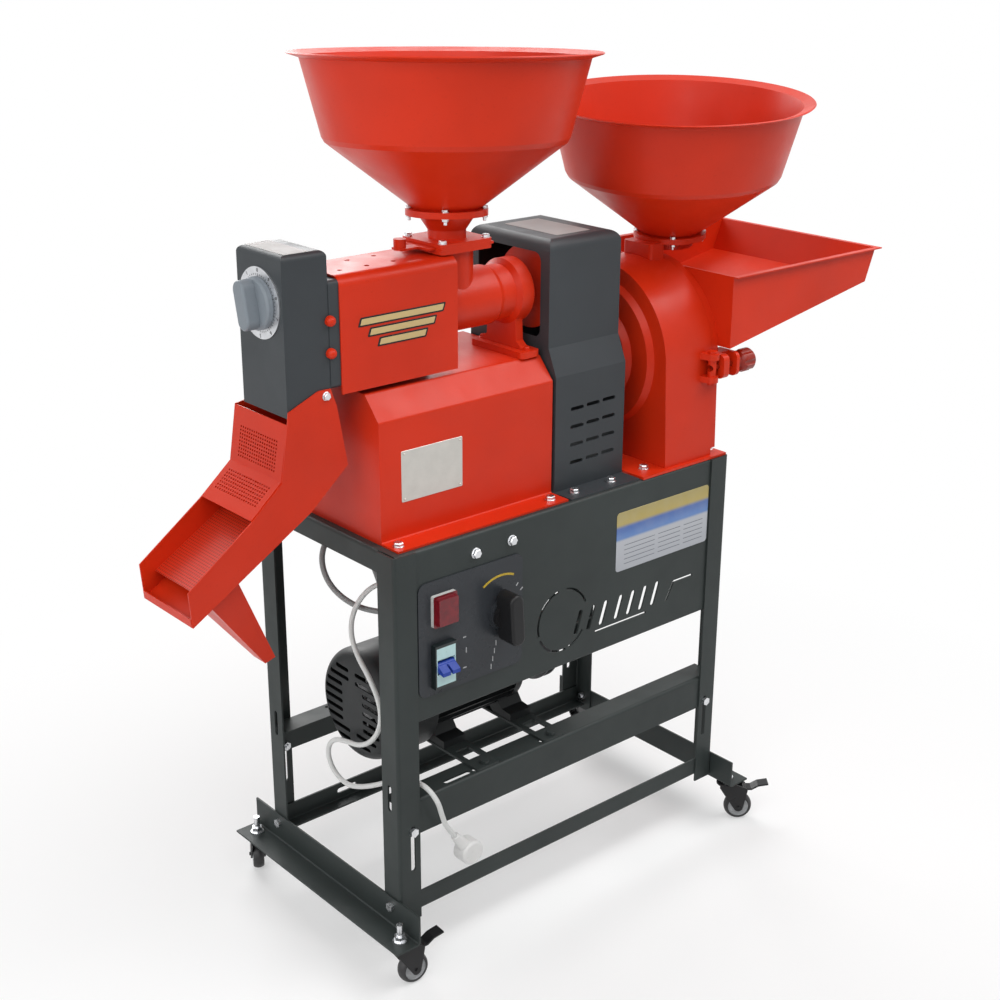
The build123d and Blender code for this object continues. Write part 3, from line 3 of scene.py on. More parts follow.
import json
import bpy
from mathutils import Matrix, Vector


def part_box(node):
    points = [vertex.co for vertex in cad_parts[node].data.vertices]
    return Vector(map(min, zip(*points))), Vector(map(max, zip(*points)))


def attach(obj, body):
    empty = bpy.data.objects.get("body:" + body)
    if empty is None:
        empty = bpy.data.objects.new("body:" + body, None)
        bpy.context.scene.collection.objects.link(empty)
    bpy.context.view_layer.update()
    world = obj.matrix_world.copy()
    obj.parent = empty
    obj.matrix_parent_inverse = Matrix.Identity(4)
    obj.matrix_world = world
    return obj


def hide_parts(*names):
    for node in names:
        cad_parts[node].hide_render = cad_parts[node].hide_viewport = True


bl_info = {
    "name": "Rice Mill and Grain Crusher",
    "version": (1, 0, 0),
    "blender": (4, 5, 0),
    "location": "View3D > Sidebar > Rice Mill",
    "description": "Paints, leads, fasteners, dial marks and labels of a rice mill with a grain crusher",
    "category": "Object",
}

from math import cos, pi, radians, sin

import bmesh
import bpy
import numpy as np
from bpy.props import FloatProperty, FloatVectorProperty, IntProperty, PointerProperty
from mathutils import Matrix

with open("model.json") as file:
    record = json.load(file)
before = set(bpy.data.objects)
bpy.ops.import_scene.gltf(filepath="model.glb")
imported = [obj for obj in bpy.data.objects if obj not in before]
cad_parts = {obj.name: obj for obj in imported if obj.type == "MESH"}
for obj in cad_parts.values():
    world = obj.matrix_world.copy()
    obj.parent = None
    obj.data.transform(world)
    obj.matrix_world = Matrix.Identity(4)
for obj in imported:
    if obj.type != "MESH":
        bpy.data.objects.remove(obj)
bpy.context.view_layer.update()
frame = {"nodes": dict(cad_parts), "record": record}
slot_of = {part["node"]: part["material_slot"] for part in frame["record"]["subparts"]}

RIGHT, UP, FRONT = (1, 0, 0), (0, 0, 1), (0, -1, 0)


def low(node):
    """Lower corner of a CAD node's box, in metres."""
    return np.array(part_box(node)[0])


def high(node):
    """Upper corner of a CAD node's box, in metres."""
    return np.array(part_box(node)[1])


def middle(node):
    """Middle of a CAD node's box, in metres."""
    return (low(node) + high(node)) / 2


def control_face(thickness=0.002):
    """Depth of the control plate's front face, one thickness before its back."""
    return high("control_plate")[1] - thickness


# Settings that a user would change


def colour(name, description, default):
    """Linear colour setting."""
    return FloatVectorProperty(
        name=name, description=description, default=default, subtype="COLOR", size=3, min=0, max=1
    )


def length(name, description, default):
    """Length setting in metres."""
    return FloatProperty(name=name, description=description, default=default, unit="LENGTH", precision=4)


def angle(name, description, degrees):
    """Angle setting, given in degrees."""
    return FloatProperty(name=name, description=description, default=radians(degrees), unit="ROTATION")


def power(name, description, default):
    """Power setting in watts."""
    return FloatProperty(name=name, description=description, default=default, unit="POWER")


class RiceMillFinish(bpy.types.PropertyGroup):
    """Colours of the machine's finishes."""

    red_paint: colour("Red paint", "Powder coat of mill, crusher, hoppers and tray", (0.62, 0.028, 0.005))
    charcoal_paint: colour("Charcoal paint", "Powder coat of the stand", (0.030, 0.037, 0.036))
    slate_paint: colour("Slate paint", "Coat of the outlet head and the belt guard", (0.040, 0.046, 0.051))
    motor_paint: colour("Motor paint", "Enamel of the motor", (0.022, 0.024, 0.025))
    zinc: colour("Zinc", "Plate on bolts and nuts", (0.72, 0.73, 0.75))
    dial_metal: colour("Dial", "Satin metal of the dial", (0.62, 0.63, 0.65))
    knob: colour("Knob", "Plastic of the pressure knob", (0.22, 0.25, 0.28))
    control_plate: colour("Control plate", "Plastic of the control plate", (0.034, 0.038, 0.044))
    emblem: colour("Emblem", "Gold of the stripes on the casing", (0.62, 0.47, 0.22))
    mains_sheath: colour("Mains lead", "Sheath of the mains lead", (0.66, 0.67, 0.66))
    # The motor lead's grey, darker than the mains lead's, is painted shade of the place where it runs.
    motor_sheath: colour("Motor lead", "Sheath of the motor lead", (0.30, 0.31, 0.31))


class RiceMillSizes(bpy.types.PropertyGroup):
    """Sizes of the pieces that the scene adds."""

    bolt: length("Bolt", "Thread of the larger bolts", 0.008)
    small_bolt: length("Small bolt", "Thread of the smaller bolts", 0.006)
    mains_diameter: length("Mains lead", "Diameter of the mains lead", 0.008)
    motor_diameter: length("Motor lead", "Diameter of the motor lead", 0.009)
    label: length("Label", "Thickness of labels and plates", 0.0006)
    dial_numbers: IntProperty(name="Dial numbers", description="Numbers round the dial", default=10, min=2)


class RiceMillStage(bpy.types.PropertyGroup):
    """Camera, lamps and backdrop."""

    camera_place: FloatVectorProperty(
        name="Camera",
        description="Place of the camera",
        default=(-1.5667, -1.8054, 1.5478),
        subtype="TRANSLATION",
    )
    camera_yaw: angle("Yaw", "Turn to the right from +Y", 40.914)
    camera_pitch: angle("Pitch", "Look down", 20.647)
    camera_roll: angle("Roll", "Roll of the camera", 0.26)
    camera_lens: FloatProperty(name="Lens", description="Focal length", default=56.77, unit="CAMERA")
    key_power: power("Key lamp", "Power of the lamp on the left", 53)
    side_power: power("Side lamp", "Power of the lamp at the chute's end", 26)
    front_power: power("Front lamp", "Power of the lamp high in front", 28)
    right_power: power("Right lamp", "Power of the lamp high on the right", 56)
    back_power: power("Back lamp", "Power of the lamp behind", 85)
    sky: FloatProperty(name="Sky", description="Strength of the soft light all round", default=0.08)


# Surfaces worked out with numpy


def axes_along(direction):
    """Three unit vectors, the last along direction."""
    w = np.array(direction, float) / np.linalg.norm(direction)
    helper = np.array((1.0, 0, 0)) if abs(w[2]) > 0.9 else np.array((0, 0, 1.0))
    u = np.cross(helper, w)
    u /= np.linalg.norm(u)
    return u, np.cross(w, u), w


def ring_quads(rows, columns):
    """Faces of a grid whose columns close into rings."""
    row, column = np.meshgrid(np.arange(rows - 1), np.arange(columns), indexing="ij")
    after = (column + 1) % columns
    near, far = row * columns, (row + 1) * columns
    return np.stack((near + column, near + after, far + after, far + column), -1).reshape(-1, 4)


def turned(profile, origin, direction, sides=36, turn=0.0):
    """Profile of radii and heights carried round a line.

    P(i, a) = origin + r_i (cos a u + sin a v) + h_i w, with w along direction.
    """
    r, h = np.array(profile, float).T[:, :, None, None]
    u, v, w = axes_along(direction)
    a = (np.arange(sides) / sides * 2 * pi + turn)[None, :, None]
    points = np.array(origin, float) + r * (np.cos(a) * u + np.sin(a) * v) + h * w
    return points.reshape(-1, 3), ring_quads(len(profile), sides)


def slab(size, corner, thickness, origin, right, up, edge=0.0003, sides=48):
    """Rounded rectangle carried through its thickness and closed on its middle.

    P(i, a) = origin + s_i (C(a) + (corner - inset_i) (cos a, sin a)) + h_i n, with C the middle of the
    corner's arc for the quarter that a lies in.
    """
    a = (np.arange(sides) + 0.25) / sides * 2 * pi
    side = np.stack((np.sign(np.cos(a)), np.sign(np.sin(a))), -1)
    centre = side * (np.array(size) / 2 - corner)
    normal = np.stack((np.cos(a), np.sin(a)), -1)
    rows = [(0, 0, 0), (1, 0, 0), (1, 0, thickness - edge), (1, edge, thickness), (0, 0, thickness)]
    scale, inset, rise = np.array(rows, float).T[:, :, None, None]
    flat = scale * (centre + normal * (corner - inset))
    right, up = np.array(right, float), np.array(up, float)
    out = np.cross(right, up)
    points = np.array(origin, float) + flat[..., :1] * right + flat[..., 1:] * up + rise * out
    return points.reshape(-1, 3), ring_quads(len(rows), sides)


def arc_band(radius, width, thickness, start, end, origin, right, up, steps=40):
    """Flat band bent round a centre, its ends closed on their middles.

    P(a, k) = origin + r_k (cos a right + sin a up) + h_k out, with r_k = radius -+ width / 2 and h_k = 0 or
    thickness at the section's four corners.
    """
    a = np.linspace(start, end, steps)
    r = radius + np.array((-1, 1, 1, -1)) * width / 2
    h = np.array((0, 0, 1, 1)) * thickness
    right, up = np.array(right, float), np.array(up, float)
    out = np.cross(right, up)
    turn = np.cos(a)[:, None, None] * right + np.sin(a)[:, None, None] * up
    rows = np.array(origin, float) + r[None, :, None] * turn + h[None, :, None] * out
    ends = np.repeat(rows.mean(axis=1, keepdims=True), 4, axis=1)
    points = np.concatenate((ends[:1], rows, ends[-1:]))
    return points.reshape(-1, 3), ring_quads(len(points), 4)


def joined(name, shells, material, body, sharp=35):
    """One object from closed shells, with doubles merged, normals outward and sharp edges kept."""
    starts = np.cumsum([0] + [len(points) for points, _ in shells[:-1]])
    points = np.concatenate([points for points, _ in shells])
    faces = np.concatenate([quads + start for (_, quads), start in zip(shells, starts)])
    mesh = bpy.data.meshes.new(name)
    mesh.from_pydata(points.tolist(), [], faces.tolist())
    work = bmesh.new()
    work.from_mesh(mesh)
    bmesh.ops.remove_doubles(work, verts=work.verts, dist=1e-6)
    bmesh.ops.recalc_face_normals(work, faces=work.faces)
    work.to_mesh(mesh)
    work.free()
    return placed(name, mesh, material, body, sharp)


def placed(name, mesh, material, body, sharp=35):
    """Object of a finished mesh, painted and riding on a body."""
    mesh.materials.clear()
    mesh.materials.append(material)
    mesh.polygons.foreach_set("use_smooth", np.ones(len(mesh.polygons), bool))
    mesh.set_sharp_from_angle(angle=radians(sharp))
    thing = bpy.data.objects.new(name, mesh)
    bpy.context.scene.collection.objects.link(thing)
    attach(thing, body)
    return thing


# Finishes


def new_finish(name):
    """Empty node material with its surface shader."""
    finish = bpy.data.materials.new(name)
    finish.use_nodes = True
    return finish, finish.node_tree, finish.node_tree.nodes["Principled BSDF"]


def own_place(tree):
    """The piece's own coordinates, in metres."""
    return tree.nodes.new("ShaderNodeTexCoord").outputs["Object"]


def own_axis(tree, axis):
    """One of the piece's own coordinates."""
    split = tree.nodes.new("ShaderNodeSeparateXYZ")
    tree.links.new(own_place(tree), split.inputs[0])
    return split.outputs[axis]


def away_from(tree, point):
    """Distance from a point in the piece's own coordinates."""
    node = tree.nodes.new("ShaderNodeVectorMath")
    node.operation = "DISTANCE"
    node.inputs[1].default_value = point
    tree.links.new(own_place(tree), node.inputs[0])
    return node.outputs["Value"]


def worked_out(tree, operation, first, second=None):
    """Result of an operation on a value, with a second value or number where it takes one."""
    node = tree.nodes.new("ShaderNodeMath")
    node.operation = operation
    tree.links.new(first, node.inputs[0])
    if isinstance(second, bpy.types.NodeSocket):
        tree.links.new(second, node.inputs[1])
    elif second is not None:
        node.inputs[1].default_value = second
    return node.outputs["Value"]


def noise(tree, scale, detail=3.0, stretch=None):
    """Noise on the piece's own coordinates, features about 1 / scale metres across."""
    place = own_place(tree)
    if stretch:
        mapping = tree.nodes.new("ShaderNodeMapping")
        mapping.inputs["Scale"].default_value = stretch
        tree.links.new(place, mapping.inputs["Vector"])
        place = mapping.outputs["Vector"]
    texture = tree.nodes.new("ShaderNodeTexNoise")
    texture.inputs["Scale"].default_value = scale
    texture.inputs["Detail"].default_value = detail
    tree.links.new(place, texture.inputs["Vector"])
    return texture.outputs["Fac"]


def between(tree, factor, first, second):
    """Blend of two colours by a factor."""
    mix = tree.nodes.new("ShaderNodeMix")
    mix.data_type = "RGBA"
    tree.links.new(factor, mix.inputs["Factor"])
    for socket, value in (("A", first), ("B", second)):
        target = next(i for i in mix.inputs if i.name == socket and i.type == "RGBA")
        if isinstance(value, bpy.types.NodeSocket):
            tree.links.new(value, target)
        else:
            target.default_value = (*value, 1)
    return next(o for o in mix.outputs if o.type == "RGBA")


def ranged(tree, value, source, target):
    """Value stretched from one range to another."""
    node = tree.nodes.new("ShaderNodeMapRange")
    tree.links.new(value, node.inputs["Value"])
    for name, number in zip(("From Min", "From Max", "To Min", "To Max"), (*source, *target)):
        node.inputs[name].default_value = number
    return node.outputs["Result"]


def drifting(tree, scale, detail=3.0, target=(0, 1)):
    """Noise with its usual values stretched over a range."""
    return ranged(tree, noise(tree, scale, detail), (0.3, 0.7), target)


def relief(tree, shader, height, depth, strength):
    """Bump from a height on the shader's normal."""
    bump = tree.nodes.new("ShaderNodeBump")
    bump.inputs["Distance"].default_value = depth
    bump.inputs["Strength"].default_value = strength
    tree.links.new(height, bump.inputs["Height"])
    tree.links.new(bump.outputs["Normal"], shader.inputs["Normal"])


def shaded(base, amount):
    """Colour made lighter or darker by an amount."""
    return [min(1.0, max(0.0, c * amount)) for c in base]


def coated(name, base, roughness, peel=0.25, grain=700, metallic=0.0, variation=0.10, shine=0.25):
    """Coat with orange peel, slow drifts of tone and uneven gloss."""
    finish, tree, shader = new_finish(name)
    drift = drifting(tree, 5.0, 4.0)
    tone = between(tree, drift, shaded(base, 1 - variation), shaded(base, 1 + variation))
    speck = ranged(tree, noise(tree, 260.0, 2.0), (0.62, 0.78), (0, 0.18))
    tree.links.new(between(tree, speck, tone, shaded(base, 0.55)), shader.inputs["Base Color"])
    gloss = drifting(tree, 24.0, 4.0, (roughness - 0.05, roughness + 0.07))
    tree.links.new(gloss, shader.inputs["Roughness"])
    relief(tree, shader, noise(tree, grain, 2.0), 0.0004, peel)
    shader.inputs["Metallic"].default_value = metallic
    shader.inputs["Specular IOR Level"].default_value = shine
    return finish


def worked_metal(name, base, roughness, stretch=(1, 1, 1), grain=300, variation=0.14):
    """Bare or plated metal with tool marks along one axis and cloudy gloss."""
    finish, tree, shader = new_finish(name)
    marks = noise(tree, grain, 3.0, stretch)
    cloud = drifting(tree, 60.0, 4.0)
    tone = between(tree, cloud, shaded(base, 1 - variation), shaded(base, 1 + variation / 2))
    tree.links.new(tone, shader.inputs["Base Color"])
    gloss = ranged(tree, marks, (0.3, 0.7), (roughness - 0.07, roughness + 0.12))
    tree.links.new(gloss, shader.inputs["Roughness"])
    relief(tree, shader, marks, 0.0003, 0.15)
    shader.inputs["Metallic"].default_value = 1.0
    return finish


def wheel_finish(name, centre, hub_radius):
    """Black tread outside the hub's radius and grey plastic inside it, measured from the wheel's middle."""
    finish, tree, shader = new_finish(name)
    tread = ranged(tree, away_from(tree, centre), (hub_radius, hub_radius + 0.0006), (0, 1))
    scuff = ranged(tree, noise(tree, 90.0, 5.0), (0.35, 0.75), (0, 1))
    rubber = between(tree, scuff, (0.010, 0.010, 0.011), (0.030, 0.030, 0.031))
    hub = between(tree, scuff, (0.30, 0.31, 0.32), (0.40, 0.41, 0.42))
    tree.links.new(between(tree, tread, hub, rubber), shader.inputs["Base Color"])
    tree.links.new(ranged(tree, scuff, (0, 1), (0.38, 0.62)), shader.inputs["Roughness"])
    relief(tree, shader, noise(tree, 500.0), 0.0004, 0.3)
    return finish


def lamp_finish(name, front):
    """Clear red lens in front of the given depth, white body behind it."""
    finish, tree, shader = new_finish(name)
    behind = ranged(tree, own_axis(tree, "Y"), (front, front + 0.0004), (0, 1))
    drift = drifting(tree, 120.0)
    lens = between(tree, drift, (0.13, 0.003, 0.009), (0.20, 0.005, 0.012))
    tree.links.new(between(tree, behind, lens, (0.62, 0.62, 0.60)), shader.inputs["Base Color"])
    tree.links.new(ranged(tree, drift, (0, 1), (0.10, 0.18)), shader.inputs["Roughness"])
    return finish


def window_finish(name, centre, half, window, surround):
    """Pale window of the given half width and half height round a centre, dark outside it."""
    finish, tree, shader = new_finish(name)
    edges = []
    for axis, centre_of, reach in (("X", centre[0], half[0]), ("Z", centre[2], half[1])):
        away = worked_out(tree, "ABSOLUTE", worked_out(tree, "SUBTRACT", own_axis(tree, axis), centre_of))
        edges.append(ranged(tree, away, (reach, reach + 0.0003), (0, 1)))
    outside = worked_out(tree, "MAXIMUM", *edges)
    drift = drifting(tree, 60.0)
    pale = between(tree, drift, shaded(window, 0.94), shaded(window, 1.04))
    tree.links.new(between(tree, outside, pale, surround), shader.inputs["Base Color"])
    tree.links.new(ranged(tree, drift, (0, 1), (0.26, 0.36)), shader.inputs["Roughness"])
    return finish


def sieve_finish(name, base, pitch, slope):
    """Round holes drawn as dips holding painted shade, on a square grid of the given pitch, on a sheet that
    slopes about Y.
    """
    finish, tree, shader = new_finish(name)
    level = tree.nodes.new("ShaderNodeMapping")
    level.inputs["Rotation"].default_value = (0, slope, 0)
    tree.links.new(own_place(tree), level.inputs["Vector"])
    holes = tree.nodes.new("ShaderNodeTexVoronoi")
    holes.voronoi_dimensions = "2D"
    holes.inputs["Scale"].default_value = 1 / pitch
    holes.inputs["Randomness"].default_value = 0.0
    tree.links.new(level.outputs["Vector"], holes.inputs["Vector"])
    hole = ranged(tree, holes.outputs["Distance"], (0.22, 0.34), (0.7, 0))
    tone = between(tree, noise(tree, 12.0), shaded(base, 0.88), shaded(base, 1.08))
    # Inside each hole the paint is darkened to 0.16: painted shade seen through the holes.
    tree.links.new(between(tree, hole, tone, shaded(base, 0.16)), shader.inputs["Base Color"])
    relief(tree, shader, ranged(tree, hole, (0, 1), (1, 0)), 0.0008, 0.5)
    shader.inputs["Roughness"].default_value = 0.42
    return finish


def label_finish(name, bottom, top, colours):
    """Plain bands of colour one above the other between two heights, with a slow drift of tone."""
    finish, tree, shader = new_finish(name)
    share = ranged(tree, own_axis(tree, "Z"), (bottom, top), (0, 1))
    ramp = tree.nodes.new("ShaderNodeValToRGB")
    ramp.color_ramp.interpolation = "EASE"
    tree.links.new(share, ramp.inputs["Fac"])
    for position, band in colours[1:-1]:
        ramp.color_ramp.elements.new(position).color = (*band, 1)
    for index in (0, -1):
        ramp.color_ramp.elements[index].position = colours[index][0]
        ramp.color_ramp.elements[index].color = (*colours[index][1], 1)
    drift = drifting(tree, 40.0, target=(0, 0.12))
    tree.links.new(between(tree, drift, ramp.outputs["Color"], (0.5, 0.5, 0.5)), shader.inputs["Base Color"])
    shader.inputs["Roughness"].default_value = 0.32
    return finish


def marking(name, base, roughness, peel=0.05, variation=0.10):
    """Film or ink of a label, stripe or mark."""
    return coated(name, base, roughness, peel=peel, variation=variation)


def finishes(settings):
    """Finish of every material slot in the record."""
    iron = (0.075, 0.075, 0.080)
    lens_back = control_face() - 0.0068
    return {
        "red_paint": coated("red powder coat", settings.red_paint, 0.36),
        "charcoal_paint": coated("charcoal powder coat", settings.charcoal_paint, 0.46, variation=0.14),
        "slate_paint": coated("slate powder coat", settings.slate_paint, 0.42, variation=0.12),
        "motor_paint": coated("motor enamel", settings.motor_paint, 0.44, 0.35, grain=300, variation=0.2),
        "zinc_steel": worked_metal("bright zinc", settings.zinc, 0.26),
        "shaft_steel": worked_metal("machined steel", (0.42, 0.42, 0.43), 0.30, (60, 1, 1), 20),
        "pulley_iron": coated("oiled iron", iron, 0.42, 0.6, grain=260, metallic=0.7, variation=0.25),
        "belt_rubber": coated("belt rubber", (0.016, 0.016, 0.017), 0.72, 0.5, grain=420, variation=0.3),
        "dial_metal": worked_metal("satin dial metal", settings.dial_metal, 0.34, (1, 1, 14), 160),
        "knob_grey": coated("grey knob plastic", settings.knob, 0.40, 0.2, variation=0.06),
        "panel_plastic": coated("control plate plastic", settings.control_plate, 0.28, 0.12),
        "black_plastic": coated("black plastic", (0.012, 0.012, 0.013), 0.38, 0.3, variation=0.3),
        "breaker_white": coated("pale breaker plastic", (0.42, 0.66, 0.66), 0.30, 0.12, variation=0.05),
        "toggle_blue": coated("blue toggle plastic", (0.020, 0.055, 0.34), 0.30, 0.12),
        "lead_pale": coated("pale lead sheath", settings.mains_sheath, 0.45, 0.15, variation=0.06),
        # Motor lead sheath: a darker grey that paints the shade the lead lies in.
        "lead_grey": coated("shaded motor lead sheath", settings.motor_sheath, 0.45, 0.15, variation=0.08),
        "plug_white": coated("white plug plastic", (0.74, 0.74, 0.73), 0.34, 0.12, variation=0.05),
        "black_metal": coated("black enamel", (0.016, 0.016, 0.017), 0.30, 0.25, variation=0.3),
        "wheel_rubber": coated("wheel rubber", (0.014, 0.014, 0.015), 0.55, 0.4, variation=0.3),
        "lamp_red": lamp_finish("red lamp lens", lens_back),
    }


def finish_named(name):
    """Finish already made by the paint operator."""
    return bpy.data.materials[name]


class RICEMILL_OT_paint(bpy.types.Operator):
    """Give every CAD node its finish"""

    bl_idname = "rice_mill.paint"
    bl_label = "Paint the Machine"

    def execute(self, context):
        settings = context.scene.rice_mill_finish
        coats = finishes(settings)
        hub_radius = 0.0198
        hole_pitch, sheet_slope = 0.0046, radians(31.2)
        window_half, window, case = (0.0176, 0.0305), (0.50, 0.72, 0.72), (0.010, 0.016, 0.017)
        for name, node in frame["nodes"].items():
            coat = coats[slot_of[name]]
            if name.endswith("_wheel"):
                coat = wheel_finish(name + " finish", middle(name), hub_radius)
            if name == "chute_sieve":
                coat = sieve_finish("sieve paint", settings.red_paint, hole_pitch, sheet_slope)
            if name == "breaker":
                coat = window_finish("breaker case", middle(name), window_half, window, case)
            # The clamp screw gets the red paint darkened to 0.42 of its colour.
            if name == "clamp_screw":
                coat = coated("clamp red darkened", shaded(settings.red_paint, 0.42), 0.30, shine=0.4)
            node.data.materials.clear()
            node.data.materials.append(coat)
        return {"FINISHED"}


# Leads

MAINS_ROUTE = [
    (-0.285, -0.112, 0.612),
    (-0.285, -0.084, 0.612),
    (-0.302, -0.052, 0.598),
    (-0.316, -0.030, 0.562),
    (-0.322, -0.024, 0.522),
    (-0.324, -0.042, 0.488),
    (-0.324, -0.076, 0.460),
    (-0.322, -0.098, 0.422),
    (-0.322, -0.096, 0.384),
    (-0.323, -0.072, 0.350),
    (-0.324, -0.040, 0.331),
    (-0.3245, -0.008, 0.326),
    (-0.3255, 0.0215, 0.318),
    (-0.326, 0.040, 0.299),
    (-0.326, 0.040, 0.272),
    (-0.3255, 0.0205, 0.253),
    (-0.3245, -0.008, 0.247),
    (-0.322, -0.040, 0.257),
    (-0.317, -0.077, 0.276),
    (-0.309, -0.113, 0.298),
    (-0.303, -0.143, 0.309),
    (-0.298, -0.1745, 0.311),
    (-0.292, -0.196, 0.292),
    (-0.284, -0.196, 0.262),
    (-0.276, -0.196, 0.240),
    (-0.260, -0.196, 0.2186667),
]
MOTOR_ROUTE = [
    (-0.255, -0.112, 0.552),
    (-0.255, -0.084, 0.552),
    (-0.276, -0.050, 0.546),
    (-0.302, -0.010, 0.550),
    (-0.322, 0.024, 0.576),
    (-0.328, 0.040, 0.616),
    (-0.312, 0.044, 0.650),
    (-0.276, 0.044, 0.658),
    (-0.246, 0.042, 0.628),
    (-0.230, 0.036, 0.580),
    (-0.218, 0.028, 0.530),
    (-0.208, 0.024, 0.490),
    (-0.184, 0.022, 0.468),
    (-0.150, 0.022, 0.468),
]


def lead(name, route, diameter, finish, node):
    """Smooth round lead whose spline has the route's points as control points."""
    line = bpy.data.curves.new(name, "CURVE")
    line.dimensions = "3D"
    line.bevel_depth = diameter / 2
    line.bevel_resolution = 5
    line.resolution_u = 10
    line.use_fill_caps = True
    spline = line.splines.new("NURBS")
    spline.points.add(len(route) - 1)
    spline.points.foreach_set("co", np.insert(np.array(route), 3, 1.0, axis=1).ravel())
    spline.order_u = 3
    spline.use_endpoint_u = True
    line.materials.append(finish)
    thing = bpy.data.objects.new(name, line)
    bpy.context.scene.collection.objects.link(thing)
    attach(thing, "stand")
    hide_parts(node)
    return thing


def bush(route, diameter):
    """Collar and tapering sleeve where a lead leaves its route's first point, in the lead's diameters."""
    collar = [(0, 0), (1.5, 0), (1.5, 0.4), (1.05, 0.5), (1.05, 0.9)]
    sleeve = [(0.92, 1.0), (0.68, 2.6), (0.60, 2.7), (0, 2.7)]
    return turned(np.array(collar + sleeve) * diameter, route[0], np.subtract(route[1], route[0]))


class RICEMILL_OT_leads(bpy.types.Operator):
    """Lay the mains lead and the motor lead with their bushes"""

    bl_idname = "rice_mill.leads"
    bl_label = "Lay the Leads"

    def execute(self, context):
        sizes = context.scene.rice_mill_sizes
        pale, grey = finish_named("pale lead sheath"), finish_named("shaded motor lead sheath")
        mains = lead("mains_lead_line", MAINS_ROUTE, sizes.mains_diameter, pale, "mains_lead")
        motor = lead("motor_lead_line", MOTOR_ROUTE, sizes.motor_diameter, grey, "motor_lead")
        bushes = [bush(MAINS_ROUTE, sizes.mains_diameter)]
        bushes += [bush(route, sizes.motor_diameter) for route in (MOTOR_ROUTE, MOTOR_ROUTE[::-1])]
        joined("lead_bushes", bushes, finish_named("black plastic"), "stand")
        return {"FINISHED"}


# Fasteners

# X and Z on the front panel
PANEL_BOLTS = ((-0.198, 0.662), (-0.128, 0.664))
# X, distance from the middle plane and height of the flange above the table
TABLE_BOLTS = (
    (-0.319, 0.146, 0.003),
    (-0.027, 0.146, 0.003),
    (0.025, 0.145, 0.0025),
    (0.104, 0.145, 0.0025),
    (0.184, 0.140, 0.004),
    (0.338, 0.140, 0.004),
)
CHUTE_BOLT_X, CHUTE_BOLT_Z = -0.398, 0.922
NECK_BOLT_REACH, NECK_PLATE_RISE = 0.040, 0.0086
FOOT_BOLT_X, FOOT_BOLT_REACH, FOOT_RISE = -0.027, 0.050, 0.010
HEAD_NUT_HEIGHTS, HEAD_NUT_RADIUS = (1.025, 0.980), 0.0075
HEAD_NUT_INSET, HEAD_NUT_SINK = 0.016, 0.0005
MILL_HOPPER_X, MILL_HOPPER_Z, MILL_LEAN = -0.139, 1.138, radians(-3.0)
CRUSHER_HOPPER, CRUSHER_LEAN = (0.360, -0.011, 1.040), radians(4.0)
LEAN_BEARING = radians(-131)
FLANGE_RING, FLANGE_THREAD, FLANGE_TOP, FLANGE_UNDER = 0.0545, 0.005, 0.003, -0.006
DOOR_CENTRE, DOOR_RIM, DOOR_RADIUS = (0.325, -0.005, 0.843), (0, -0.818, 0.575), 0.150
# Places, spacing and sinking of the black discs that put painted shade into the casing's vent holes
VENT_PLACES, VENT_REACH, VENT_DEPTH = (-0.346, -0.300, -0.254), 0.023, 0.0027


def hex_bolt(seat, direction, size, turn=0.0):
    """Washer and chamfered hexagon head on a seat, in proportion to the thread."""
    washer = [(0, 0), (1.05, 0), (1.05, 0.17), (0.98, 0.22), (0, 0.22)]
    head = [(0, 0.2), (0.93, 0.2), (0.93, 0.72), (0.8, 0.86), (0, 0.86)]
    return [
        turned(np.array(washer) * size, seat, direction),
        turned(np.array(head) * size, seat, direction, sides=6, turn=turn),
    ]


def hex_bolts(seats, size, turn_of):
    """Bolts on their seats, each head turned by its place so that they don't all line up."""
    return [shell for seat, way in seats for shell in hex_bolt(seat, way, size, turn_of(seat))]


def dome_nut(seat, direction, radius):
    """Collar and half ball on a seat."""
    a = np.linspace(0, pi / 2, 9)
    ball = np.stack((radius * np.cos(a), radius * (0.35 + np.sin(a))), -1).tolist()
    return [turned([(0, 0), (radius, 0)] + ball, seat, direction)]


def flange_screws(seat, lean):
    """Four screws with nuts through the flange of a hopper that leans towards LEAN_BEARING."""
    axis = np.array((sin(lean) * cos(LEAN_BEARING), sin(lean) * sin(LEAN_BEARING), cos(lean)))
    stud = [(0, 0), (0.0025, 0), (0.0025, 0.0085), (0.002, 0.009), (0, 0.009)]
    shells = []
    for turn in radians(49) + np.arange(4) * pi / 2:
        way = np.array((cos(turn), sin(turn), 0))
        way = way - axis * (way @ axis)
        spot = np.array(seat) + FLANGE_RING * way / np.linalg.norm(way)
        top, under = spot + FLANGE_TOP * axis, spot + FLANGE_UNDER * axis
        shells += hex_bolt(top, axis, FLANGE_THREAD) + hex_bolt(under, -axis, FLANGE_THREAD)
        shells.append(turned(stud, under, -axis, 16))
    return shells


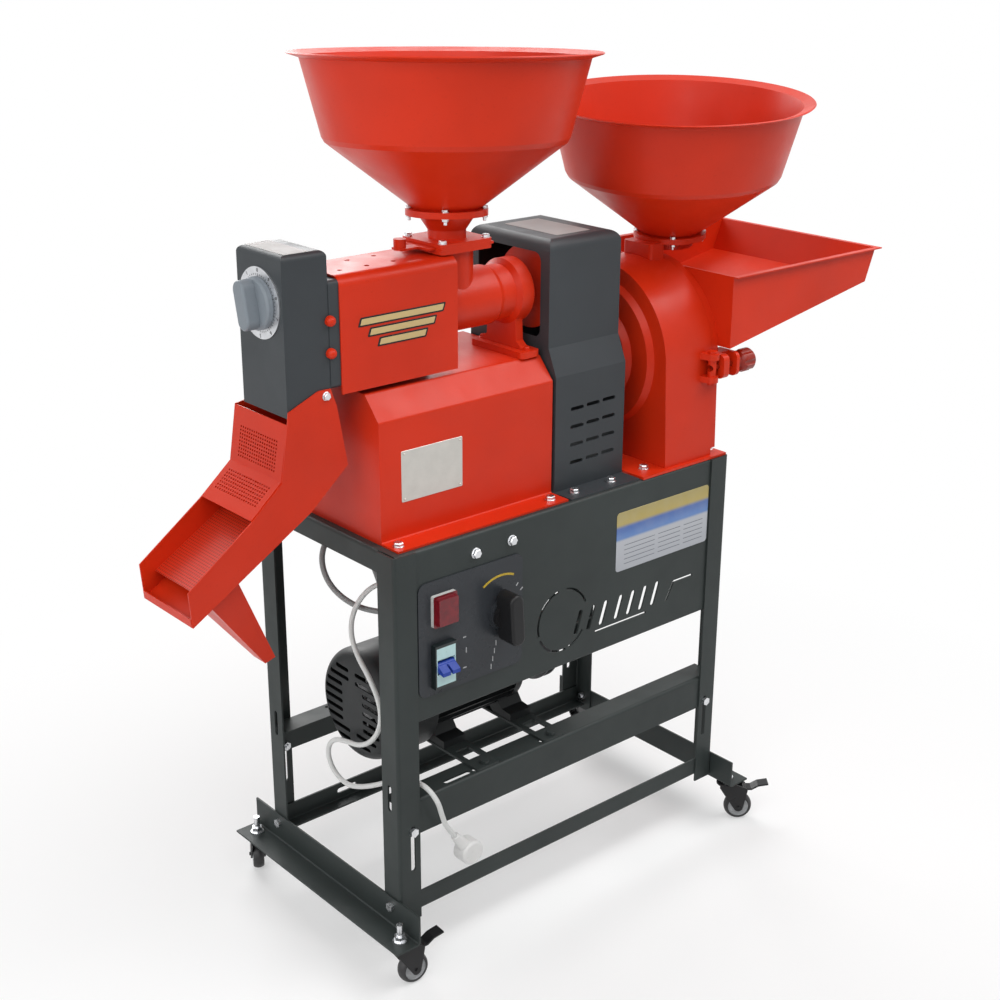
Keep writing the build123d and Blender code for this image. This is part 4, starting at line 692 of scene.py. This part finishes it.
class RICEMILL_OT_fasteners(bpy.types.Operator):
    """Set the bolts, screws and dome nuts, and the black discs of painted shade in the casing's vent holes
    """

    bl_idname = "rice_mill.fasteners"
    bl_label = "Set the Fasteners"

    def execute(self, context):
        sizes = context.scene.rice_mill_sizes
        zinc = finish_named("bright zinc")
        panel, table = low("front_panel")[1], low("mill_base")[2]
        mill_y = middle("mill_casing")[1]
        sides = (-1, 1)

        seats = [((x, panel, z), FRONT) for x, z in PANEL_BOLTS]
        seats += [((x, side * reach, table + rise), UP) for x, reach, rise in TABLE_BOLTS for side in sides]
        shells = hex_bolts(seats, sizes.bolt, lambda seat: seat[0] * 90)
        joined("frame_screws", shells, zinc, "stand", sharp=25)

        seats = [((CHUTE_BOLT_X, low("chute")[1], CHUTE_BOLT_Z), FRONT)]
        neck_x, neck_z = middle("hopper_neck")[0], low("hopper_neck")[2] + NECK_PLATE_RISE
        for i in sides:
            for j in sides:
                seats.append(((neck_x + i * NECK_BOLT_REACH, mill_y + j * NECK_BOLT_REACH, neck_z), UP))
        shells = hex_bolts(seats, sizes.small_bolt, lambda seat: seat[1] * 70)
        joined("mill_screws", shells, zinc, "stand", sharp=25)

        foot_z = low("inlet_barrel")[2] + FOOT_RISE
        seats = [((FOOT_BOLT_X, mill_y + side * FOOT_BOLT_REACH, foot_z), UP) for side in sides]
        shells = hex_bolts(seats, sizes.small_bolt, lambda seat: 0.0)
        nut_x, nut_y = low("mill_casing")[0] - HEAD_NUT_INSET, low("outlet_head")[1] + HEAD_NUT_SINK
        for height in HEAD_NUT_HEIGHTS:
            shells += dome_nut((nut_x, nut_y, height), FRONT, HEAD_NUT_RADIUS)
        joined("painted_nuts", shells, finish_named("red powder coat"), "stand")

        shells = flange_screws((MILL_HOPPER_X, mill_y, MILL_HOPPER_Z), MILL_LEAN)
        shells += flange_screws(CRUSHER_HOPPER, CRUSHER_LEAN)
        joined("hopper_screws", shells, zinc, "stand", sharp=25)

        seat = np.array(DOOR_CENTRE) + DOOR_RADIUS * np.array(DOOR_RIM)
        shells = hex_bolt(seat, DOOR_RIM, sizes.small_bolt)
        joined("door_screw", shells, zinc, "door", sharp=25)

        # Black discs sunk just below the casing's top fill its vent holes with painted shade.
        plug = [(0, 0), (0.0039, 0), (0.0039, 0.0007), (0.0034, 0.0012), (0, 0.0012)]
        sunk = high("mill_casing")[2] - VENT_DEPTH
        spots = [(x, mill_y + side * VENT_REACH, sunk) for x in VENT_PLACES for side in sides]
        vent_shade_discs = [turned(plug, spot, UP, 24) for spot in spots]
        joined("casing_vent_shade_discs", vent_shade_discs, finish_named("black plastic"), "stand")
        return {"FINISHED"}


# Dial

TICK_RADIUS, LONG_TICK, SHORT_TICK = 0.0400, 0.0044, 0.0022
TICK_WIDTH, TICK_DEPTH, TICKS_PER_NUMBER = 0.0008, 0.0002, 5
NUMBER_RADIUS, NUMBER_SIZE, NUMBER_DEPTH = 0.0444, 0.0074, 0.0001


def written(text, size, depth):
    """Mesh of a short number standing on the X-Y plane, centred on the origin."""
    words = bpy.data.curves.new("number", "FONT")
    words.body = text
    words.size = size
    words.extrude = depth
    words.align_x, words.align_y = "CENTER", "CENTER"
    carrier = bpy.data.objects.new("number", words)
    mesh = bpy.data.meshes.new_from_object(carrier)
    bpy.data.objects.remove(carrier)
    bpy.data.curves.remove(words)
    return mesh


def turns_round(count):
    """Angles of a number of even steps round the dial, from its top."""
    return radians(90) + np.arange(count) / count * 2 * pi


class RICEMILL_OT_dial(bpy.types.Operator):
    """Mark the dial with ticks and plain numbers"""

    bl_idname = "rice_mill.dial"
    bl_label = "Mark the Dial"

    def execute(self, context):
        count = context.scene.rice_mill_sizes.dial_numbers
        face = low("dial_plate")[0]
        _, y, z = middle("dial_plate")
        ink = marking("dial ink", (0.020, 0.020, 0.022), 0.5)

        ticks = []
        for index, turn in enumerate(turns_round(TICKS_PER_NUMBER * count)):
            out = np.array((0, -cos(turn), sin(turn)))
            reach = SHORT_TICK if index % TICKS_PER_NUMBER else LONG_TICK
            place = np.array((face, y, z)) + (TICK_RADIUS - reach / 2) * out
            side = np.cross((-1, 0, 0), out)
            ticks.append(slab((reach, TICK_WIDTH), 0.0002, TICK_DEPTH, place, out, side, 0.00005))
        joined("dial_ticks", ticks, ink, "stand")

        outward = Matrix(((0, 0, -1), (-1, 0, 0), (0, 1, 0))).to_4x4()
        work = bmesh.new()
        for index, turn in enumerate(turns_round(count)):
            number = written(str(index), NUMBER_SIZE, NUMBER_DEPTH)
            across, rise = NUMBER_RADIUS * cos(turn), NUMBER_RADIUS * sin(turn)
            place = Matrix.Translation((face - NUMBER_DEPTH, y - across, z + rise))
            number.transform(place @ outward @ Matrix.Rotation(turn - radians(90), 4, "Z"))
            work.from_mesh(number)
            bpy.data.meshes.remove(number)
        mesh = bpy.data.meshes.new("dial_numbers")
        work.to_mesh(mesh)
        work.free()
        placed("dial_numbers", mesh, ink, "stand")
        return {"FINISHED"}


# Plates, labels and marks

PLATE_CENTRE, PLATE_SIZE, RIVET_REACH = (-0.238, -0.123, 0.788), (0.112, 0.077), (0.051, 0.034)
LABEL_X, LABEL_Z, LABEL_SIZE = 0.201, 0.5995, (0.214, 0.101)
LABEL_BOTTOM, LABEL_TOP = 0.549, 0.650
LABEL_BANDS = [
    (0.0, (0.42, 0.44, 0.48)),
    (0.50, (0.48, 0.50, 0.54)),
    (0.56, (0.10, 0.22, 0.52)),
    (0.72, (0.06, 0.14, 0.42)),
    (0.80, (0.46, 0.36, 0.10)),
    (1.0, (0.40, 0.32, 0.10)),
]
# Start and length of the rules in a row
RULE_COLUMNS = ((0.112, 0.070), (0.190, 0.052), (0.250, 0.046))
RULE_ROWS, FIRST_RULE, RULE_STEP = 5, 0.560, 0.008
GUARD_LABEL_Y, GUARD_LABEL_SIZE = -0.020, (0.070, 0.120)
HEAD_PALE_INSET, HEAD_PALE_SIZE = 0.029, (0.040, 0.096)
# Length, start and height of each stripe
STRIPES = ((0.150, 0.012, 1.015), (0.118, 0.028, 0.999), (0.086, 0.044, 0.983))
STRIPES_X, STRIPE_SLANT = -0.352, (0.35, 0, 1.0)


class RICEMILL_OT_plates(bpy.types.Operator):
    """Fix the bare rating plate, the plain labels and the stripes"""

    bl_idname = "rice_mill.plates"
    bl_label = "Fix Plates and Labels"

    def execute(self, context):
        settings = context.scene.rice_mill_finish
        thick = context.scene.rice_mill_sizes.label
        panel = low("front_panel")[1]

        shells = [slab(PLATE_SIZE, 0.002, thick, PLATE_CENTRE, RIGHT, UP)]
        for i in (-1, 1):
            for j in (-1, 1):
                seat = np.array(PLATE_CENTRE) + (i * RIVET_REACH[0], -thick, j * RIVET_REACH[1])
                shells += dome_nut(seat, FRONT, 0.0014)
        metal = worked_metal("plain plate metal", (0.56, 0.545, 0.51), 0.42, (1, 1, 20), 120, 0.05)
        joined("rating_plate", shells, metal, "stand")

        bands = label_finish("plain banded label", LABEL_BOTTOM, LABEL_TOP, LABEL_BANDS)
        label = slab(LABEL_SIZE, 0.006, thick, (LABEL_X, panel, LABEL_Z), RIGHT, UP)
        joined("panel_label", [label], bands, "stand")
        rules = []
        for row in range(RULE_ROWS):
            for start, reach in RULE_COLUMNS:
                place = (start + reach / 2, panel - thick, FIRST_RULE + RULE_STEP * row)
                rules.append(slab((reach, 0.0011), 0.0002, 0.0001, place, RIGHT, UP, 0.00003))
        ink = marking("grey label ink", (0.16, 0.17, 0.20), 0.4)
        joined("label_rules", rules, ink, "stand")

        # Pale slabs on the tops of the belt guard and of the outlet head, the head's near its left end.
        guard = (middle("belt_guard")[0], GUARD_LABEL_Y, high("belt_guard")[2])
        head = (low("outlet_head")[0] + HEAD_PALE_INSET, middle("outlet_head")[1], high("outlet_head")[2])
        tops = [
            slab(size, 0.003, thick, place, RIGHT, (0, 1, 0))
            for size, place in ((GUARD_LABEL_SIZE, guard), (HEAD_PALE_SIZE, head))
        ]
        film = marking("pale top slab finish", (0.33, 0.33, 0.32), 0.5, variation=0.05)
        joined("top_pale_slabs", tops, film, "stand")

        gold = marking("gold stripe film", settings.emblem, 0.36, 0.1)
        edge = marking("black stripe film", (0.012, 0.012, 0.012), 0.4, 0.1)
        casing_front = low("mill_casing")[1]
        gold_bars, dark_bars = [], []
        for reach, start, height in STRIPES:
            x = STRIPES_X + start + reach / 2
            dark, bright = (x, casing_front, height), (x, casing_front - thick, height)
            dark_bars.append(slab((reach, 0.0130), 0.002, thick, dark, RIGHT, STRIPE_SLANT))
            gold_bars.append(slab((reach - 0.006, 0.0085), 0.001, thick * 0.6, bright, RIGHT, STRIPE_SLANT))
        joined("casing_stripes_dark", dark_bars, edge, "stand")
        joined("casing_stripes_gold", gold_bars, gold, "stand")
        return {"FINISHED"}


MARK_DEPTH = 0.0003
ARC_RADIUS, ARC_WIDTH, ARC_START, ARC_END = 0.062, 0.0034, radians(66), radians(124)
# Pale ticks on the switch's right: partly position marks, partly a painted highlight along the control
# plate's right edge
SWITCH_MARK_AND_HIGHLIGHT_TURNS, SWITCH_RING = (radians(35), radians(50)), 0.050
# Dashed line under the switch: its upper end, its run to the left, its fall, and where on it the dashes lie
DASH_X, DASH_Z, DASH_RUN, DASH_FALL = -0.159, 0.508, 0.011, 0.042
DASHES = (0.06, 0.35, 0.64, 0.93)
# X, Z and size of the short lines beside the breaker
BREAKER_MARKS = (
    (-0.221, 0.534, (0.006, 0.0016)),
    (-0.218, 0.512, (0.0016, 0.009)),
    (-0.221, 0.484, (0.007, 0.0018)),
)


class RICEMILL_OT_controls(bpy.types.Operator):
    """Mark the control plate: arc above the switch, and pale ticks on its right that are partly position
    marks and partly a painted highlight of the plate's right edge
    """

    bl_idname = "rice_mill.controls"
    bl_label = "Mark the Controls"

    def execute(self, context):
        face = control_face()
        switch_x, _, switch_z = middle("selector_handle")
        centre = np.array((switch_x, face, switch_z))
        yellow = marking("yellow mark", (0.55, 0.38, 0.04), 0.4)
        pale = marking("pale mark", (0.45, 0.46, 0.47), 0.4)
        arc = arc_band(ARC_RADIUS, ARC_WIDTH, MARK_DEPTH, ARC_START, ARC_END, centre, RIGHT, UP)
        joined("switch_arc", [arc], yellow, "stand")

        marks = []
        # These two pale ticks are partly position marks and partly a painted highlight of the plate's right
        # edge.
        for turn in SWITCH_MARK_AND_HIGHLIGHT_TURNS:
            out, side = np.array((cos(turn), 0, sin(turn))), np.array((-sin(turn), 0, cos(turn)))
            marks.append(((0.006, 0.0020), centre + SWITCH_RING * out, out, side))
        for share in DASHES:
            place = (DASH_X - DASH_RUN * share, face, DASH_Z - DASH_FALL * share)
            marks.append(((0.0016, 0.0085), place, RIGHT, UP))
        marks += [(size, (x, face, z), RIGHT, UP) for x, z, size in BREAKER_MARKS]
        ticks = [slab(size, 0.0005, MARK_DEPTH, *where, 0.0001) for size, *where in marks]
        joined("switch_marks_and_edge_highlight", ticks, pale, "stand")
        return {"FINISHED"}


# Stage

AIM = (0.0, 0.0, 0.7)
FLOOR_REACH = 40


def lamp(name, place, size, watts):
    """Soft square lamp aimed at the middle of the machine."""
    light = bpy.data.lights.new(name, "AREA")
    light.size = size
    light.energy = watts
    thing = bpy.data.objects.new(name, light)
    bpy.context.scene.collection.objects.link(thing)
    axes = axes_along(np.subtract(place, AIM))
    thing.matrix_world = Matrix.Translation(place) @ Matrix(axes).transposed().to_4x4()


def seen_rays(tree):
    """One for rays from the eye, also by way of metal or glass, and nought for those that carry light."""
    path = tree.nodes.new("ShaderNodeLightPath")
    seen = path.outputs["Is Camera Ray"]
    for kind in ("Is Glossy Ray", "Is Transmission Ray"):
        seen = worked_out(tree, "MAXIMUM", seen, path.outputs[kind])
    return seen


def send_mixed(tree, factor, first, second, output):
    """Send a blend of two shaders to an output."""
    mix = tree.nodes.new("ShaderNodeMixShader")
    tree.links.new(factor, mix.inputs["Fac"])
    tree.links.new(first, mix.inputs[1])
    tree.links.new(second, mix.inputs[2])
    tree.links.new(mix.outputs["Shader"], tree.nodes[output].inputs["Surface"])


def floor_finish():
    """Pale floor that keeps the shadow near the machine and looks plain white further out."""
    finish, tree, shader = new_finish("pale floor")
    far = ranged(tree, away_from(tree, (0, 0, 0)), (0.30, 1.4), (0.34, 1))
    whitened = worked_out(tree, "MULTIPLY", far, seen_rays(tree))
    shader.inputs["Base Color"].default_value = (0.90, 0.90, 0.90, 1)
    shader.inputs["Roughness"].default_value = 0.85
    white = tree.nodes.new("ShaderNodeEmission").outputs["Emission"]
    send_mixed(tree, whitened, shader.outputs["BSDF"], white, "Material Output")
    return finish


class RICEMILL_OT_stage(bpy.types.Operator):
    """Set the camera, lamps, sky and floor"""

    bl_idname = "rice_mill.stage"
    bl_label = "Set the Stage"

    def execute(self, context):
        stage = context.scene.rice_mill_stage
        scene = context.scene
        scene.view_settings.view_transform = "Standard"

        view = bpy.data.cameras.new("photo view")
        view.lens = stage.camera_lens
        view.sensor_width = 36
        eye = bpy.data.objects.new("photo view", view)
        scene.collection.objects.link(eye)
        turn = (
            Matrix.Rotation(-stage.camera_yaw, 4, "Z")
            @ Matrix.Rotation(pi / 2 - stage.camera_pitch, 4, "X")
            @ Matrix.Rotation(stage.camera_roll, 4, "Z")
        )
        eye.matrix_world = Matrix.Translation(stage.camera_place) @ turn
        scene.camera = eye

        lamp("key lamp", (-2.8, -1.6, 2.8), 2.6, stage.key_power)
        lamp("side lamp", (-3.2, 0.6, 1.5), 2.0, stage.side_power)
        lamp("front lamp", (-0.4, -1.9, 3.2), 2.0, stage.front_power)
        lamp("right lamp", (1.5, -1.2, 3.2), 2.0, stage.right_power)
        lamp("back lamp", (0.6, 2.8, 2.4), 2.4, stage.back_power)

        sky = bpy.data.worlds.new("soft sky")
        sky.use_nodes = True
        scene.world = sky
        tree = sky.node_tree
        soft = tree.nodes["Background"]
        white = tree.nodes.new("ShaderNodeBackground")
        for light, strength in ((soft, stage.sky), (white, 1.0)):
            light.inputs["Color"].default_value = (1, 1, 1, 1)
            light.inputs["Strength"].default_value = strength
        first, second = (light.outputs["Background"] for light in (soft, white))
        send_mixed(tree, seen_rays(tree), first, second, "World Output")

        mesh = bpy.data.meshes.new("floor")
        corners = [(x * FLOOR_REACH, y * FLOOR_REACH, 0) for x, y in ((-1, -1), (1, -1), (1, 1), (-1, 1))]
        mesh.from_pydata(corners, [], [(0, 1, 2, 3)])
        mesh.materials.append(floor_finish())
        floor = bpy.data.objects.new("floor", mesh)
        scene.collection.objects.link(floor)
        return {"FINISHED"}


class RICEMILL_PT_sidebar(bpy.types.Panel):
    """Steps that dress the machine"""

    bl_idname = "RICEMILL_PT_sidebar"
    bl_label = "Rice Mill"
    bl_space_type = "VIEW_3D"
    bl_region_type = "UI"
    bl_category = "Rice Mill"

    def draw(self, context):
        for step in STEPS:
            self.layout.operator(step.bl_idname)
        for group in GROUPS:
            settings = getattr(context.scene, group)
            for name in settings.__annotations__:
                self.layout.prop(settings, name)


STEPS = (
    RICEMILL_OT_stage,
    RICEMILL_OT_paint,
    RICEMILL_OT_leads,
    RICEMILL_OT_fasteners,
    RICEMILL_OT_dial,
    RICEMILL_OT_plates,
    RICEMILL_OT_controls,
)
GROUPS = {
    "rice_mill_finish": RiceMillFinish,
    "rice_mill_sizes": RiceMillSizes,
    "rice_mill_stage": RiceMillStage,
}
CLASSES = (*GROUPS.values(), *STEPS, RICEMILL_PT_sidebar)


def register():
    for cls in CLASSES:
        bpy.utils.register_class(cls)
    for name, group in GROUPS.items():
        setattr(bpy.types.Scene, name, PointerProperty(type=group))


def unregister():
    for name in GROUPS:
        delattr(bpy.types.Scene, name)
    for cls in reversed(CLASSES):
        bpy.utils.unregister_class(cls)


def main():
    register()
    bpy.ops.rice_mill.stage()
    bpy.ops.rice_mill.paint()
    bpy.ops.rice_mill.leads()
    bpy.ops.rice_mill.fasteners()
    bpy.ops.rice_mill.dial()
    bpy.ops.rice_mill.plates()
    bpy.ops.rice_mill.controls()


if __name__ == "__main__":
    main()
